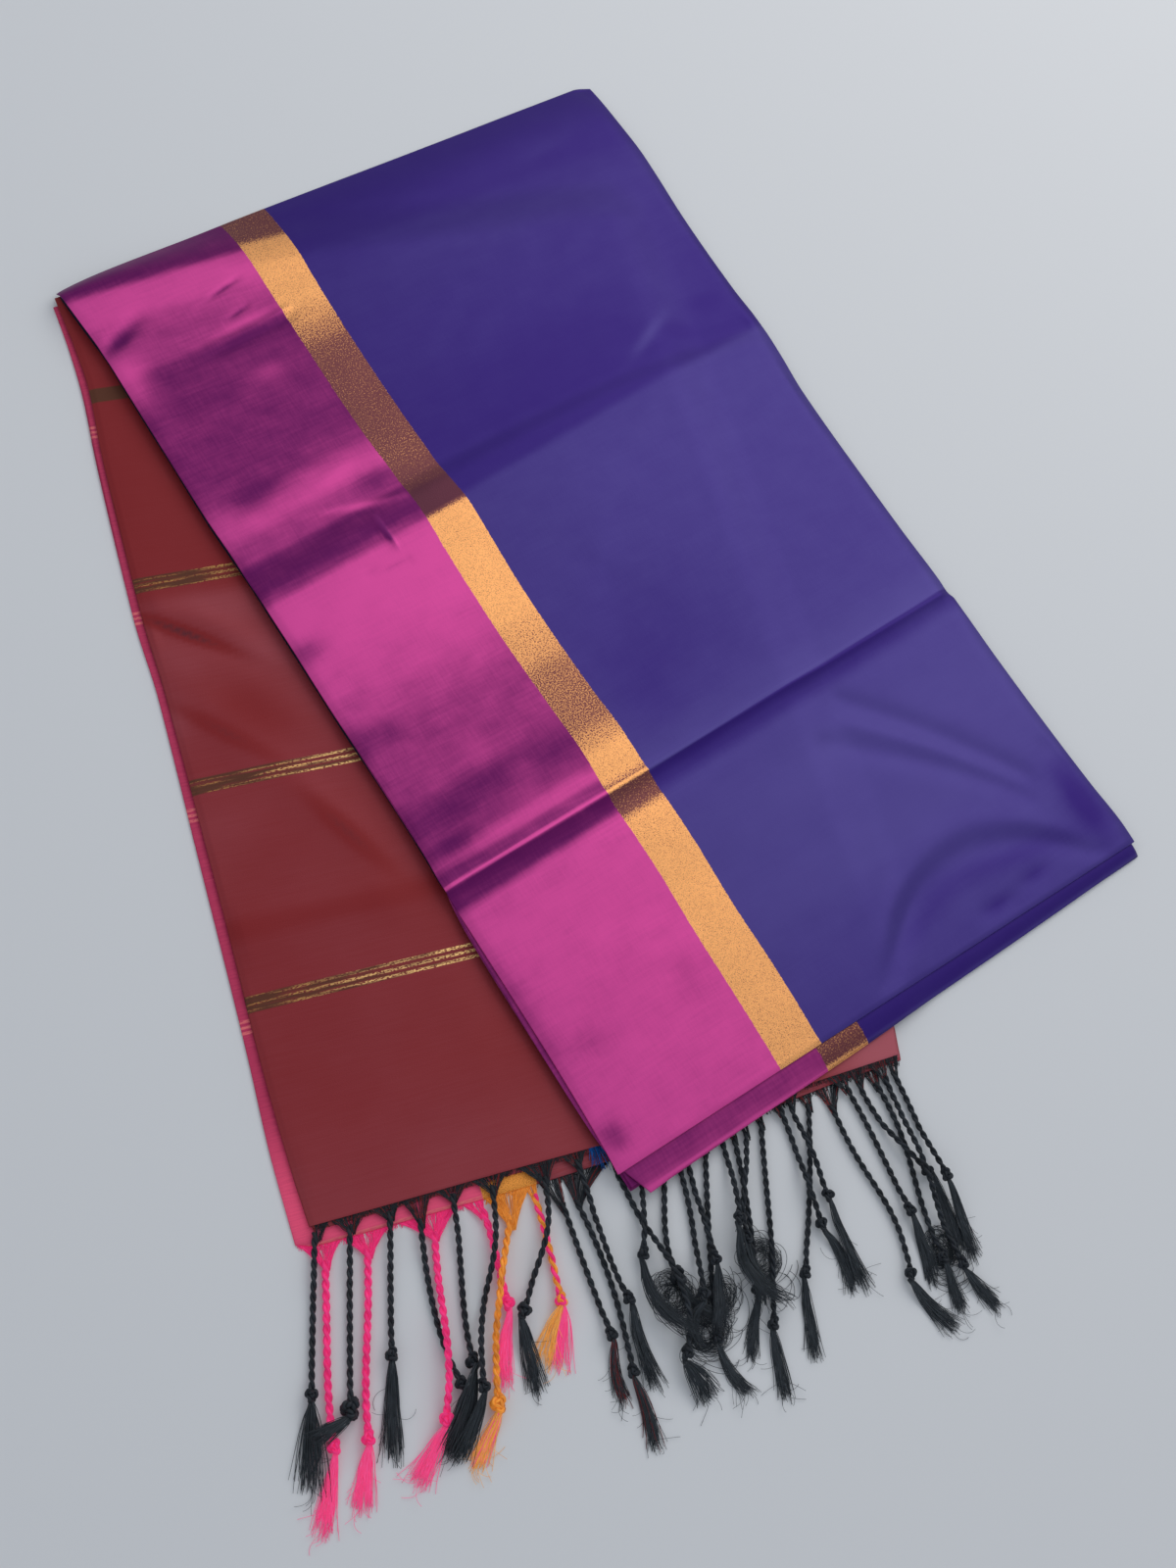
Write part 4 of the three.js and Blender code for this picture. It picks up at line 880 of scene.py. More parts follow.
def build_tassel(strands, row, laid, draw, settings):
    """A twisted cord with its knot, and the brush beyond it. Later tassels lie on what it adds to laid."""
    radius = CORD_RADIUS[row["yarn"]]
    reach = row["cord"] + KNOT_LENGTH / 2
    place, at = floor_line((row["place"], row["root"]), reach, row["lean"], row["bow"], row["sway"])
    swell = cord_radius(at, reach, radius)
    height = lay(place, at, swell, laid, row["fringe"])
    down = [np.column_stack([place, height, swell])]
    line = np.column_stack([place, height])
    line[:, 2] -= (swell - radius) * 0.5 * (at > reach - KNOT_LENGTH - 1)
    mixed = row["yarn"] == "orange" and row["place"] > 110
    yarn, tip = (0, 1) if mixed else (0, 0)
    cord = line[at <= reach - KNOT_LENGTH * 0.4]
    twist(strands, cord, radius, settings.cord_pitch / MM, 8, draw.uniform(0, 6), (yarn, tip))
    along, across, up = frame_of(line)
    k = int(np.argmin(np.abs(at - row["cord"])))
    centre = np.append(place[k], height[k])
    size = OTHER_KNOT_SCALES.get(row["place"], KNOT_SCALE)
    lump = knot_line(centre, along[k], across[k], up[k], size, draw.uniform(0, 6))
    lump[:, 2] = np.maximum(lump[:, 2], radius)
    twist(strands, lump, (0.62 * radius + 0.3) * size / 0.72, 5.5, 6, draw.uniform(0, 6), (yarn, tip))
    down += build_brush(strands, row, line[-1], height[-2], laid, draw, settings)
    laid.extend(down)


def build_brush(strands, row, start, start_height, laid, draw, settings):
    """The loose yarn beyond a knot: a fan of fine threads that curl a little at their ends."""
    length = row["lock"] - KNOT_LENGTH / 2
    place, at = floor_line(start[:2], length, row["lock_lean"], row["lock_bow"], 0)
    angle = math.radians(row["lock_lean"])
    beside = np.array([math.cos(angle), math.sin(angle)])
    taper = LOCK_RADIUS * (1 - 0.5 * at / length)
    down, heights = [], []
    for share in (-1, 0, 1):
        fanned = place + (share * row["spread"] * 0.5 * np.sqrt(at / length))[:, None] * beside
        height = lay(fanned, at, taper, laid, "lower", start_height)
        down.append(np.column_stack([fanned, height, taper]))
        heights.append(height)
    heights = np.array(heights)
    number = settings.brush_threads
    t = np.linspace(-0.07, 1, 10)
    share = np.clip(draw.normal(0, 0.5, number), -1.15, 1.15)
    reach = np.clip(draw.normal(0.93, 0.09, number), 0.6, 1.12)
    lift = draw.uniform(-1, 1, number)
    curl = draw.normal(0, 1.5, number)
    wave = draw.normal(0, 0.5, number)
    phase = draw.uniform(0, 6, number)
    far = t[None, :] * reach[:, None]
    base = np.stack([np.interp(far * length, at, place[:, i]) for i in (0, 1)], -1)
    past = (np.maximum(far - 1, 0) + np.minimum(far, 0)) * length
    ahead = np.array([math.sin(angle), -math.cos(angle)])
    base += past[..., None] * ahead
    spread = np.maximum(far, 0)
    off = share[:, None] * row["spread"] * 0.5 * np.sqrt(spread) + 0.9 * lift[:, None] * (1 - spread)
    off += curl[:, None] * spread**3 + wave[:, None] * np.sin(phase[:, None] + 5 * far) * spread
    base += off[..., None] * beside
    rest = np.stack([np.interp(far * length, at, h) for h in heights])
    pick = np.clip(share, -1, 1)[:, None]
    height = rest[1] * (1 - np.abs(pick)) + np.where(pick < 0, rest[0], rest[2]) * np.abs(pick)
    bundle = 1.1 * (1 - 0.75 * spread) * np.sqrt(np.maximum(0, 1.3 - share[:, None] ** 2))
    floor = FLOOR_GAP * 0.6 + 0.2
    height = np.maximum(height + bundle * np.roll(lift, 1)[:, None] * 0.8, floor)
    lines = np.concatenate([base, height[..., None]], -1)
    radii = settings.thread_radius / MM * (1 - 0.45 * np.maximum(t, 0) ** 3)
    strays = STRAY_SHARES.get(row["place"], 0)
    other = draw.uniform(0, 1, number) < strays
    if row["place"] == HALF_AND_HALF:
        other = share > 0
    strands.add(lines[~other], radii, 3, 2)
    if other.any():
        strands.add(lines[other], radii, 3, 3 if row["yarn"] == "orange" else 1)
    build_wisps(strands, row, place, at, heights[1], draw)
    return down


def build_wisps(strands, row, place, at, height, draw):
    """Fibres that stray from a brush and curl on the floor. A few tassels have a curled hank of them."""
    curly = row["place"] in CURLY
    number, places = HANK_FIBRES if curly else WISPS
    start = draw.uniform(0.25, 0.98, number) * at[-1]
    heading = math.radians(row["lock_lean"] - 90) + draw.normal(0, 0.45, number)
    turn = draw.choice((-1, 1), number) * draw.uniform(0.6, 1.4, number) / 12
    length = draw.uniform(5, 15, number)
    if curly:
        ringed = draw.uniform(0, 1, number) < 0.7
        way = draw.choice((-1, 1))
        turn = way * np.where(ringed, draw.normal(1, 0.09, number) / HANK_RING, np.abs(turn) * 1.1)
        heading = np.where(ringed, heading[0] + (heading - heading[0]) * 0.3, heading)
        start = np.where(ringed, at[-1] * draw.uniform(0.4, 0.55, number), start)
        length = np.where(ringed, draw.uniform(46, 70, number), draw.uniform(20, 46, number))
    s = np.linspace(0, 1, places) * length[:, None]
    wave = 0.5 * np.sin(s / 5 + draw.uniform(0, 6, number)[:, None])
    angle = heading[:, None] + turn[:, None] * s * (1 + s / 150) + wave * (0.5 if curly else 1)
    step = length[:, None] / (places - 1)
    x = np.interp(start, at, place[:, 0])[:, None] + np.cumsum(np.cos(angle) * step, 1)
    y = np.interp(start, at, place[:, 1])[:, None] + np.cumsum(np.sin(angle) * step, 1)
    low = np.interp(start, at, height)[:, None]
    z = FLOOR_GAP + 0.2 + (low - FLOOR_GAP) * (1 - smooth(s / 12))
    z = z + draw.uniform(0, 1.6, number)[:, None] * smooth(s / 8)
    y = np.maximum(y, WISP_LIMIT)
    strands.add(np.stack([x, y, z], -1), 0.17 if curly else 0.11, 3, 2)


def hem_at(hem, x):
    return read(HEMS, x, hem) - EDGE_BULGE * WALL


def build_web(strands, row, hem, height, ends, draw, root_height):
    """Warp threads drawn together from the hem to a cord's root."""
    low, high = ends
    number = max(8, int((high - low) / WARP_GAP[row["yarn"]]))
    side = np.linspace(-1, 1, number)
    side = np.sign(side) * np.abs(side) ** 0.62
    x0 = (low + high) / 2 + side * (high - low) / 2 + draw.normal(0, 0.15, number)
    t = np.linspace(0, 1, 8)
    y0 = hem_at(hem, x0) + 0.5
    gather = 1 - (1 - t) ** 1.15
    side = (x0 - row["place"]) / max(high - low, 1e-6)
    end_x = row["place"] + side * 2.2
    drop = row["root"] - 3.5 - draw.uniform(0, 2, number)
    x = x0[:, None] + (end_x - x0)[:, None] * gather + draw.normal(0, 0.12, (number, 8)) * (t > 0) * (t < 1)
    y = y0[:, None] + (drop - y0)[:, None] * t**1.1
    sag = draw.normal(0, 0.16, (number, 8)) * (t > 0) * (t < 1)
    z = height + (root_height - height) * smooth(t)[None, :] + sag
    z = np.maximum(z, FLOOR_GAP)
    lines = np.stack([x, y, z], -1)
    some_red = row["yarn"] == "dark" and row["fringe"] != "middle"
    red = draw.uniform(0, 1, number) < (RED_WARP_SHARE if some_red else 0)
    strands.add(lines[~red], 0.24, 3)
    if red.any():
        strands.add(lines[red], 0.2, 3, 1)


def build_raw_edge(strands, hem, start, end, height, draw):
    """Short raw warp ends all along a hem."""
    number = int((end - start) / RAW_END_GAP)
    x0 = np.sort(draw.uniform(start, end, number))
    y0 = hem_at(hem, x0) + 0.4
    length = draw.uniform(1.4, 3.2, number)
    lean = draw.normal(0, 0.35, number)
    t = np.linspace(0, 1, 4)
    x = x0[:, None] + (lean * length)[:, None] * t**1.4
    y = y0[:, None] - length[:, None] * t
    z = height + draw.normal(0, 0.18, number)[:, None] - 0.2 * t[None, :]
    strands.add(np.stack([x, y, np.maximum(z, 0.2)], -1), 0.15, 3)


def web_ends(row, rows, start, end):
    """How far along the hem a cord's web reaches, up to halfway to its neighbours."""
    others = sorted(one["place"] for one in rows)
    i = others.index(row["place"])
    wide = row["web"] > 14
    low = start + 0.4 if i == 0 else (others[i - 1] + row["place"]) / 2 + 0.3
    high = end - 0.4 if wide or i == len(others) - 1 else (others[i + 1] + row["place"]) / 2 - 0.3
    return max(row["place"] - row["web"], low), min(row["place"] + row["web"], high)


def build_fringes(settings, yarns):
    """Every fringe, in the order that its tassels lie on each other."""
    draw = np.random.default_rng(settings.seed)
    pieces = {name: Strands() for name in FRINGES}
    laid = []
    for row in TASSELS:
        strands = pieces[row["fringe"]]
        hem, start, end, height = FRINGES[row["fringe"]]
        before = len(laid)
        build_tassel(strands, row, laid, draw, settings)
        rows = [one for one in TASSELS if one["fringe"] == row["fringe"]]
        ends = web_ends(row, rows, start, end)
        build_web(strands, row, hem, height, ends, draw, laid[before][1, 2])
    for name, (hem, start, end, height) in FRINGES.items():
        build_raw_edge(pieces[name], hem, start, end, height, draw)
        slot = {"lower_pink": "pink_yarn", "lower_orange": "orange_yarn"}.get(name, "dark_yarn")
        pieces[name].build(f"fringe_{name}", yarns[name], slot)


def build_blue_fan(settings, yarn):
    draw = np.random.default_rng(settings.seed + 1)
    start, end, length = FAN
    share = np.linspace(0, 1, BLUE_THREADS)
    x0 = start + (end - start) * share
    y0 = hem_at("upper", x0) + 0.3
    t = np.linspace(0, 1, 6)
    reach = length * (0.55 + 0.45 * np.sin(np.pi * share)) * draw.uniform(0.7, 1.12, BLUE_THREADS)
    lean = (share - 0.3) * 4 + draw.normal(0, 0.7, BLUE_THREADS)
    x = x0[:, None] + lean[:, None] * t**1.3
    y = y0[:, None] - reach[:, None] * t
    z = PALLU_HEIGHT - WALL / 2 + draw.normal(0, 0.25, BLUE_THREADS)[:, None] - 0.6 * t[None, :] ** 2
    strands = Strands()
    strands.add(np.stack([x, y, z], -1), 0.24 * (1 - 0.4 * t), 3)
    strands.build("fringe_blue_threads", [yarn], "blue_yarn")


def shade(code):
    """A colour that is written as red, green and blue in hexadecimal, as linear values."""
    parts = [int(code[i : i + 2], 16) / 255 for i in (1, 3, 5)]
    return tuple(c / 12.92 if c <= 0.04045 else ((c + 0.055) / 1.055) ** 2.4 for c in parts)


class Finish:
    """A material made of nodes, with short names for the nodes that the cloth and yarn use."""

    def __init__(self, name):
        self.material = bpy.data.materials.new(name)
        self.material.use_nodes = True
        self.tree = self.material.node_tree
        self.shader = self.tree.nodes["Principled BSDF"]
        uv = self.node("UVMap")
        uv.uv_map = "cloth"
        split = self.node("SeparateXYZ", Vector=uv.outputs["UV"])
        self.u, self.v = split.outputs["X"], split.outputs["Y"]

    def plug(self, socket, value):
        if hasattr(value, "is_output"):
            self.tree.links.new(value, socket)
        elif hasattr(value, "__len__") and len(value) == 3 and socket.type == "RGBA":
            socket.default_value = (*value, 1)
        else:
            socket.default_value = value

    def node(self, kind, **inputs):
        """A new node of that kind, with its inputs set or linked."""
        node = self.tree.nodes.new(f"ShaderNode{kind}")
        for key, value in inputs.items():
            self.plug(node.inputs[key.replace("_", " ")], value)
        return node

    def math(self, operation, a, b=0.0, c=0.0):
        node = self.node("Math")
        node.operation = operation
        for socket, value in zip(node.inputs, (a, b, c)):
            self.plug(socket, value)
        return node.outputs["Value"]

    def scaled(self, value, factor, base=0.0):
        """A value times a factor, on a base."""
        return self.math("MULTIPLY_ADD", value, factor, base)

    def product(self, value, *others):
        for other in others:
            value = self.math("MULTIPLY", value, other)
        return value

    def flipped(self, value):
        return self.math("SUBTRACT", 1, value)

    def field(self, name):
        """A value that the mesh carries at its points."""
        node = self.node("Attribute")
        node.attribute_name = name
        return node.outputs["Fac"]

    def step(self, value, start, end):
        """0 below start and 1 above end."""
        node = self.node("MapRange", Value=value, From_Min=start, From_Max=end)
        node.interpolation_type = "SMOOTHSTEP"
        return node.outputs["Result"]

    def mix(self, factor, a, b):
        node = self.node("Mix")
        node.data_type = "RGBA"
        self.plug(node.inputs["Factor"], factor)
        self.plug(node.inputs["A"], a)
        self.plug(node.inputs["B"], b)
        return next(out for out in node.outputs if out.type == "RGBA")

    def noise(self, across, along, detail, seed):
        """Unevenness of that size in metres, across and along the cloth."""
        x, y = self.math("DIVIDE", self.u, across), self.math("DIVIDE", self.v, along)
        place = self.node("CombineXYZ", X=x, Y=y, Z=seed)
        node = self.node("TexNoise", Vector=place.outputs["Vector"], Scale=1, Detail=detail)
        return node.outputs["Fac"]

    def uneven(self, across, along, detail, seed):
        """That noise about zero."""
        return self.math("SUBTRACT", self.noise(across, along, detail, seed), 0.5)

    def bump(self, height, strength, distance=0.0002):
        node = self.node("Bump", Strength=strength, Distance=distance, Height=height)
        self.plug(self.shader.inputs["Normal"], node.outputs["Normal"])

    def set(self, **values):
        for key, value in values.items():
            self.plug(self.shader.inputs[key.replace("_", " ")], value)
        return self.material


def body_silk(colours):
    """Shot silk: a magenta border, a copper zari stripe and a purple ground."""
    f = Finish("body_silk")
    brush = f.uneven(0.0011, 0.013, 3, 5)
    weft = f.uneven(0.02, 0.0016, 3, 6)
    cloud = f.uneven(0.02, 0.013, 4, 7)
    grain = f.uneven(0.0008, 0.0009, 2, 9)
    speck = f.uneven(0.0006, 0.0012, 2, 13)
    # Painted sheen and shade: each stripe's sheen field, made streaky by noise, mixes its dark and bright
    # tone.
    silk = f.scaled(brush, 0.2, f.scaled(weft, 0.2, f.scaled(cloud, 0.36)))
    border = f.step(f.math("ADD", f.field("border_sheen"), silk), -0.05, 1.05)
    turning = f.step(f.scaled(grain, 3.2, f.field("zari_sheen")), 0.15, 0.85)
    bright = f.flipped(f.product(f.step(grain, 0.0, 0.18), 0.5))
    dull = f.product(f.step(speck, 0.13, 0.25), 0.6)
    zari = f.math("ADD", f.product(turning, bright), f.product(f.flipped(turning), dull))
    ground = f.step(f.scaled(silk, 0.6, f.field("ground_sheen")), -0.1, 1.1)
    border_colour = f.mix(border, colours.magenta_dark, colours.magenta)
    zari_colour = f.mix(zari, colours.copper_dark, colours.copper)
    # Painted shade: where the zari's sheen falls below zero it turns to the zari's shadow tone.
    zari_colour = f.mix(f.step(f.field("zari_sheen"), -0.3, -0.02), shade(ZARI_SHADOW), zari_colour)
    ground_colour = f.mix(ground, colours.purple_dark, colours.purple)
    # Painted shade: plies that carry the hidden ground tone turn near-black navy.
    hidden = f.step(f.field("ground_sheen"), -0.9, -0.7)
    ground_colour = f.mix(hidden, shade(HIDDEN_PLY_SHADE), ground_colour)
    edge = f.math("ADD", f.u, f.scaled(f.noise(0.002, 0.0016, 1, 3), 0.0008, -0.0004))
    inner, outer = (f.step(edge, at * MM - 0.0002, at * MM + 0.0002) for at in STRIPE)
    colour = f.mix(outer, f.mix(inner, border_colour, zari_colour), ground_colour)
    stripe = f.product(inner, f.flipped(outer))
    f.bump(f.math("ADD", f.noise(0.0009, 0.0005, 1, 11), f.product(grain, stripe, 2)), 0.2)
    return f.set(
        Base_Color=colour,
        Metallic=f.scaled(stripe, 0.2, 0.45),
        Roughness=f.scaled(stripe, -0.06, 0.46),
        Specular_IOR_Level=0.18,
        Anisotropic=0.5,
        Sheen_Weight=0.04,
        Sheen_Roughness=0.4,
    )


def striped(f, pitch, first, gap, half_width):
    """Groups of three woven lines at that pitch: how far a place lies in a group, and on a line."""
    off = f.math("PINGPONG", f.math("ADD", f.v, first), pitch / 2)
    beside = f.math("ABSOLUTE", f.math("SUBTRACT", off, gap))
    group = f.flipped(f.step(off, gap * 1.15, gap * 1.45))
    centre, side = (f.flipped(f.step(far, half_width, half_width * 1.7)) for far in (off, beside))
    return group, f.math("MAXIMUM", centre, side)


def pallu_silk(colours):
    """Maroon silk with groups of three broken gold lines."""
    f = Finish("pallu_silk")
    group, line = striped(f, 0.1212, 0.0615, 0.0034, 0.0006)
    down = f.product(f.v, -1)
    woven = f.flipped(f.step(down, 0.49, 0.495))
    chain = f.step(f.noise(0.0016, 0.0006, 2, 23), 0.45, 0.5)
    across = f.scaled(f.noise(0.022, 0.0016, 2, 21), 0.9, f.product(f.u, 2.4))
    shown = f.product(f.step(across, 0.42, 0.74), f.step(down, 0.09, 0.16))
    gold = f.product(line, chain, shown, woven)
    cloud, streak = f.uneven(0.05, 0.06, 3, 25), f.uneven(0.03, 0.0012, 3, 27)
    # Painted sheen and shade: the tone mixes maroon with its light tone, and its lowest values with the
    # painted shadow of the creases.
    tone = f.scaled(cloud, 0.2, f.scaled(streak, 0.12, f.field("ground_sheen")))
    ground = f.mix(f.step(tone, 0, 1), colours.maroon, colours.maroon_light)
    ground = f.mix(f.step(tone, -0.5, 0.02), shade(PALLU_SHADOW), ground)
    ground = f.mix(f.product(group, woven, f.scaled(shown, -0.6, 0.78)), ground, colours.olive)
    # The gold lines are darker at the top and along the left edge, and brighter beyond.
    brighter_lower_right = f.product(f.step(f.u, 0.01, 0.1), f.step(down, 0.1, 0.3))
    thread = f.mix(brighter_lower_right, colours.gold_dark, colours.gold)
    f.bump(f.math("ADD", f.noise(0.0008, 0.0006, 1, 29), f.product(line, 0.5)), 0.25)
    return f.set(
        Base_Color=f.mix(gold, ground, thread),
        Metallic=f.scaled(gold, 0.4, 0.3),
        Roughness=0.52,
        Specular_IOR_Level=0.25,
        Anisotropic=0.4,
        Sheen_Weight=0.05,
        Sheen_Roughness=0.45,
    )


def border_silk(colours):
    """The lowest ply: pink, then a strip of orange zari and maroon beyond it, with small woven marks."""
    f = Finish("border_silk")
    line = striped(f, 0.1175, 0.083, 0.003, 0.0006)[1]
    streak = f.noise(0.012, 0.0009, 3, 31)
    lit = f.product(f.step(f.product(f.v, -1), 0.47, 0.535), 0.6)
    pink = f.mix(f.scaled(streak, 0.5, lit), colours.pink_dark, colours.pink)
    mark = f.product(line, f.step(f.noise(0.003, 0.0008, 2, 33), 0.3, 0.55), 0.6)
    pink = f.mix(mark, pink, shade(MARK_PINK))
    zari = f.mix(f.step(f.noise(0.0007, 0.0007, 2, 35), 0.25, 0.6), shade(ZARI_BROWN), colours.orange)
    maroon = f.mix(streak, colours.maroon, colours.maroon_light)
    first, second = f.step(f.u, 0.0952, 0.0958), f.step(f.u, 0.1242, 0.1248)
    colour = f.mix(second, f.mix(first, pink, zari), maroon)
    f.bump(f.noise(0.0008, 0.0006, 1, 37), 0.25)
    return f.set(Base_Color=colour, Metallic=0.3, Roughness=0.5, Specular_IOR_Level=0.25, Anisotropic=0.4)


def yarn(name, dark, bright, glow=0.0):
    """Spun silk yarn: fine fibres along each strand, uneven in tone. A glow in its own colour paints some
    light on it.
    """
    f = Finish(name)
    fibre = f.noise(0.09, 0.004, 3, 41)
    tone = f.scaled(fibre, 0.6, f.product(f.noise(0.6, 0.009, 2, 43), 0.5))
    colour = f.mix(f.step(tone, 0.25, 0.85), shade(dark), bright)
    f.bump(fibre, 0.5, 0.0003)
    # Painted light: the yarn glows in its own colour.
    f.set(Emission_Color=colour, Emission_Strength=glow)
    return f.set(Base_Color=colour, Roughness=0.5, Specular_IOR_Level=0.22, Sheen_Weight=0.06)


def colour_property(title, text, code):
    return bpy.props.FloatVectorProperty(
        name=title, description=text, default=shade(code), subtype="COLOR", size=3, min=0, max=1
    )


# The dark and bright tones of the magenta, copper, purple and maroon are painted shade and painted sheen,
# which the sheen fields mix; the maroon's tones also vary at random.
class SareeColours(bpy.types.PropertyGroup):
    magenta: colour_property("Magenta", "Bright tone of the body's border", "#e04e9f")
    magenta_dark: colour_property("Magenta, dark", "Dark tone of the body's border", "#640d5a")
    copper: colour_property("Copper", "Bright tone of the zari stripe", "#ffb46f")
    copper_dark: colour_property("Copper, dark", "Dark tone of the zari stripe", "#703e42")
    purple: colour_property("Purple", "Bright tone of the body's ground", "#4e428a")
    purple_dark: colour_property("Purple, dark", "Dark tone of the body's ground", "#321a72")
    maroon: colour_property("Maroon", "Dark tone of the end piece", "#862125")
    maroon_light: colour_property("Maroon, light", "Light tone of the end piece", "#aa5560")
    olive: colour_property("Olive", "Ground between the gold lines", "#4a3620")
    gold: colour_property("Gold", "Bright tone of the woven lines", "#ffd088")
    gold_dark: colour_property("Gold, dark", "Dark tone of the woven lines", "#b8894a")
    pink: colour_property("Pink", "Bright tone of the lowest ply", "#ff5c84")
    pink_dark: colour_property("Pink, dark", "Dark tone of the lowest ply", "#a82850")
    orange: colour_property("Orange", "The zari of the lowest ply", "#ffa848")
    pink_yarn: colour_property("Pink yarn", "Bright tone of the pink tassels", "#ff3d88")
    orange_yarn: colour_property("Orange yarn", "Bright tone of the orange tassels", "#ffa23c")
    dark_yarn: colour_property("Dark yarn", "Bright tone of the dark tassels", "#30363e")
    blue_yarn: colour_property("Blue yarn", "Bright tone of the loose blue warp", "#0a6cc8")


class SareeFringe(bpy.types.PropertyGroup):
    brush_threads: bpy.props.IntProperty(
        name="Threads in a brush", description="Fine threads beyond each knot", default=84, min=10, max=140
    )
    thread_radius: bpy.props.FloatProperty(
        name="Thread radius", description="Half a brush thread's thickness", default=0.00021, unit="LENGTH"
    )
    cord_pitch: bpy.props.FloatProperty(
        name="Twist", description="Length of one turn of a twisted cord", default=0.0105, unit="LENGTH"
    )
    seed: bpy.props.IntProperty(name="Seed", description="Seed of the loose threads' spread", default=7)


class SareeStage(bpy.types.PropertyGroup):
    floor_colour: colour_property("Floor", "Tone of the plain floor", "#dadbdd")
    key_power: bpy.props.FloatProperty(
        name="Window light", description="Power of the large soft light", default=10.5, min=0
    )
    fill: bpy.props.FloatProperty(name="Fill", description="Strength of the even light", default=0.6, min=0)


class SAREE_OT_end_piece(bpy.types.Operator):
    """Builds the laid-out end piece: its border ply, middle ply and top ply"""

    bl_idname = "saree.end_piece"
    bl_label = "Build the end piece"

    def execute(self, context):
        colours = context.scene.saree_colours
        maroon = pallu_silk(colours)
        build_border_ply(border_silk(colours))
        build_middle_ply(maroon)
        build_pallu_top_ply(maroon)
        return {"FINISHED"}


class SAREE_OT_body(bpy.types.Operator):
    """Builds the folded body: its inner folds, second fold and top fold"""

    bl_idname = "saree.body"
    bl_label = "Build the folded body"

    def execute(self, context):
        silk = body_silk(context.scene.saree_colours)
        build_inner_folds(silk)
        build_second_fold(silk)
        build_top_fold(silk)
        return {"FINISHED"}


class SAREE_OT_fringe(bpy.types.Operator):
    """Builds the knotted fringe of each hem and the loose blue warp"""

    bl_idname = "saree.fringe"
    bl_label = "Build the fringe"

    def execute(self, context):
        colours = context.scene.saree_colours
        settings = context.scene.saree_fringe
        # Painted light: the pink and orange yarns and their loose brushes glow.
        pink = yarn("pink_yarn", "#b81452", colours.pink_yarn, PAINTED_GLOW)
        orange = yarn("orange_yarn", "#8c4212", colours.orange_yarn, PAINTED_GLOW)
        dark = yarn("dark_yarn", "#040508", colours.dark_yarn)
        red = yarn("red_yarn", "#4a1014", shade("#a03030"))
        blue = yarn("blue_yarn", "#00356e", colours.blue_yarn)
        loose_pink = yarn("loose_pink_yarn", "#e0306e", shade("#ff66a6"), PAINTED_GLOW)
        loose_orange = yarn("loose_orange_yarn", "#b8641c", shade("#ffc468"), PAINTED_GLOW)
        loose_dark = yarn("loose_dark_yarn", "#101418", shade("#4a5158"))
        yarns = {name: [dark, red, loose_dark] for name in FRINGES}
        yarns["lower_pink"] = [pink, red, loose_pink]
        yarns["lower_orange"] = [orange, pink, loose_orange, loose_pink]
        build_fringes(settings, yarns)
        build_blue_fan(settings, blue)
        return {"FINISHED"}


class SAREE_OT_cloth_sizes(bpy.types.Operator):
    """Does nothing: it states no cut of the cloth and nothing of what it lies on"""

    bl_idname = "saree.cloth_sizes"
    bl_label = "State the cloth sizes"

    def execute(self, context):
        return {"FINISHED"}


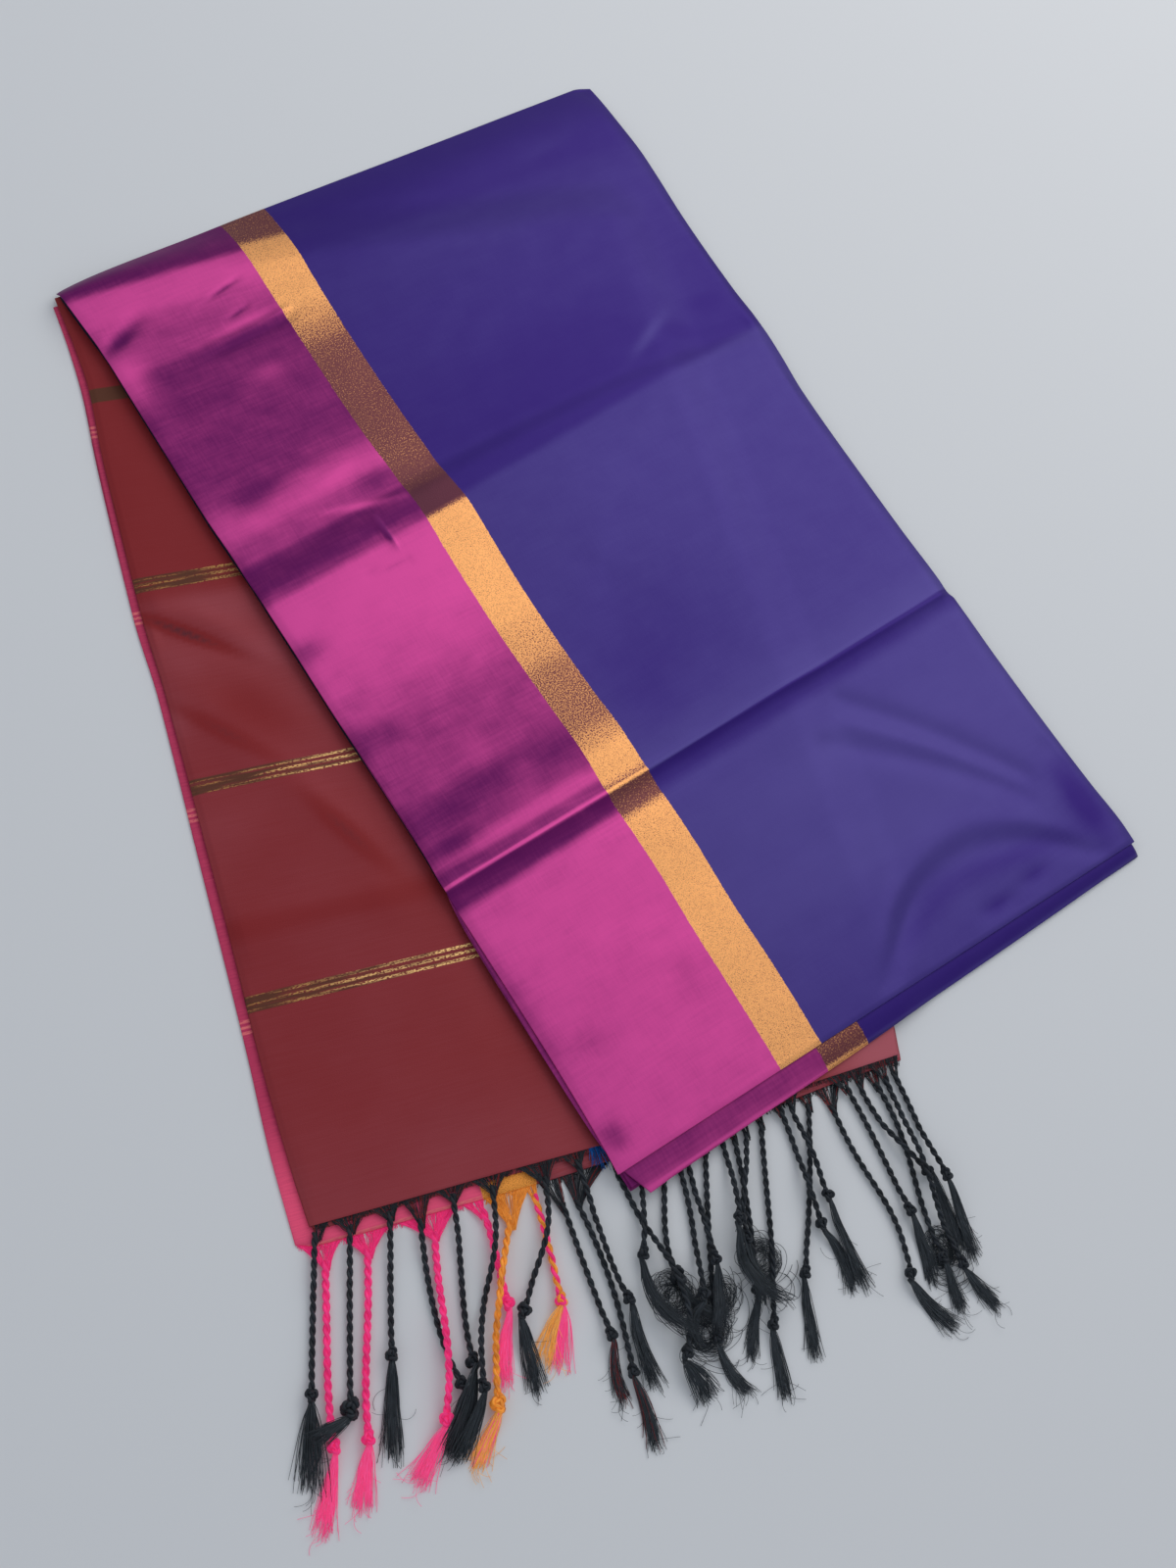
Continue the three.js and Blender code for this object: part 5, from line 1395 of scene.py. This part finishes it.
class SAREE_OT_stage(bpy.types.Operator):
    """Builds the plain floor, the soft studio light and the camera"""

    bl_idname = "saree.stage"
    bl_label = "Build the stage"

    def execute(self, context):
        scene = context.scene
        settings = scene.saree_stage
        floor_mesh = bpy.data.meshes.new("studio_floor")
        corners = [(x * FLOOR_HALF, y * FLOOR_HALF, 0) for x, y in ((-1, -1), (1, -1), (1, 1), (-1, 1))]
        floor_mesh.from_pydata(corners, [], [(0, 1, 2, 3)])
        paper = bpy.data.materials.new("studio_paper")
        paper.use_nodes = True
        shader = paper.node_tree.nodes["Principled BSDF"]
        shader.inputs["Base Color"].default_value = (*settings.floor_colour, 1)
        shader.inputs["Roughness"].default_value = 0.9
        floor_mesh.materials.append(paper)
        floor = add_object("studio_floor", floor_mesh)
        window = bpy.data.lights.new("window_light", "AREA")
        window.shape = "RECTANGLE"
        window.size, window.size_y = WINDOW_SIZE
        window.energy = settings.key_power
        window.color = WINDOW_COLOUR
        lamp = add_object("window_light", window)
        lamp.location = WINDOW_PLACE
        aim = Vector(WINDOW_AIM) - lamp.location
        lamp.rotation_euler = aim.to_track_quat("-Z", "Y").to_euler()
        world = bpy.data.worlds.new("studio_air")
        world.use_nodes = True
        air = world.node_tree.nodes["Background"]
        air.inputs["Color"].default_value = AIR_COLOUR
        air.inputs["Strength"].default_value = settings.fill
        scene.world = world
        scene.view_settings.view_transform = "Standard"
        lens = bpy.data.cameras.new("photo_camera")
        lens.lens = FOCAL_LENGTH
        lens.sensor_width = SENSOR_WIDTH
        lens.sensor_fit = "AUTO"
        camera = add_object("photo_camera", lens)
        look = Vector(CAMERA_LOOK)
        right = look.cross(Vector(CAMERA_UP)).normalized()
        turn = camera.matrix_world.to_3x3()
        turn.col[0], turn.col[1], turn.col[2] = right, right.cross(look).normalized(), -look.normalized()
        camera.matrix_world = turn.to_4x4()
        camera.location = Vector((PLAN_X * MM, PLAN_Y * MM, 0)) + Vector(CAMERA_PLACE)
        scene.camera = camera
        return {"FINISHED"}


class SAREE_PT_panel(bpy.types.Panel):
    """Lists what the saree is made of and what a user can change"""

    bl_label = "Folded saree"
    bl_idname = "SAREE_PT_panel"
    bl_space_type = "VIEW_3D"
    bl_region_type = "UI"
    bl_category = "Saree"

    def draw(self, context):
        for group in (context.scene.saree_colours, context.scene.saree_fringe, context.scene.saree_stage):
            box = self.layout.box()
            for key in group.bl_rna.properties.keys():
                if key not in ("rna_type", "name"):
                    box.prop(group, key)
        for step in OPERATORS:
            self.layout.operator(step.bl_idname)


GROUPS = {"saree_colours": SareeColours, "saree_fringe": SareeFringe, "saree_stage": SareeStage}
OPERATORS = (SAREE_OT_end_piece, SAREE_OT_body, SAREE_OT_fringe, SAREE_OT_cloth_sizes, SAREE_OT_stage)


def register():
    for group in GROUPS.values():
        bpy.utils.register_class(group)
    for step in OPERATORS:
        bpy.utils.register_class(step)
    bpy.utils.register_class(SAREE_PT_panel)
    for name, group in GROUPS.items():
        setattr(bpy.types.Scene, name, bpy.props.PointerProperty(type=group))


def unregister():
    for name in GROUPS:
        delattr(bpy.types.Scene, name)
    for one in (SAREE_PT_panel, *reversed(OPERATORS), *GROUPS.values()):
        bpy.utils.unregister_class(one)


def plain(corners):
    return [[float(value) for value in corner] for corner in corners]


def main():
    register()
    bpy.ops.saree.end_piece()
    bpy.ops.saree.body()
    bpy.ops.saree.fringe()
    bpy.ops.saree.cloth_sizes()
    bpy.ops.saree.stage()


if __name__ == "__main__":
    main()
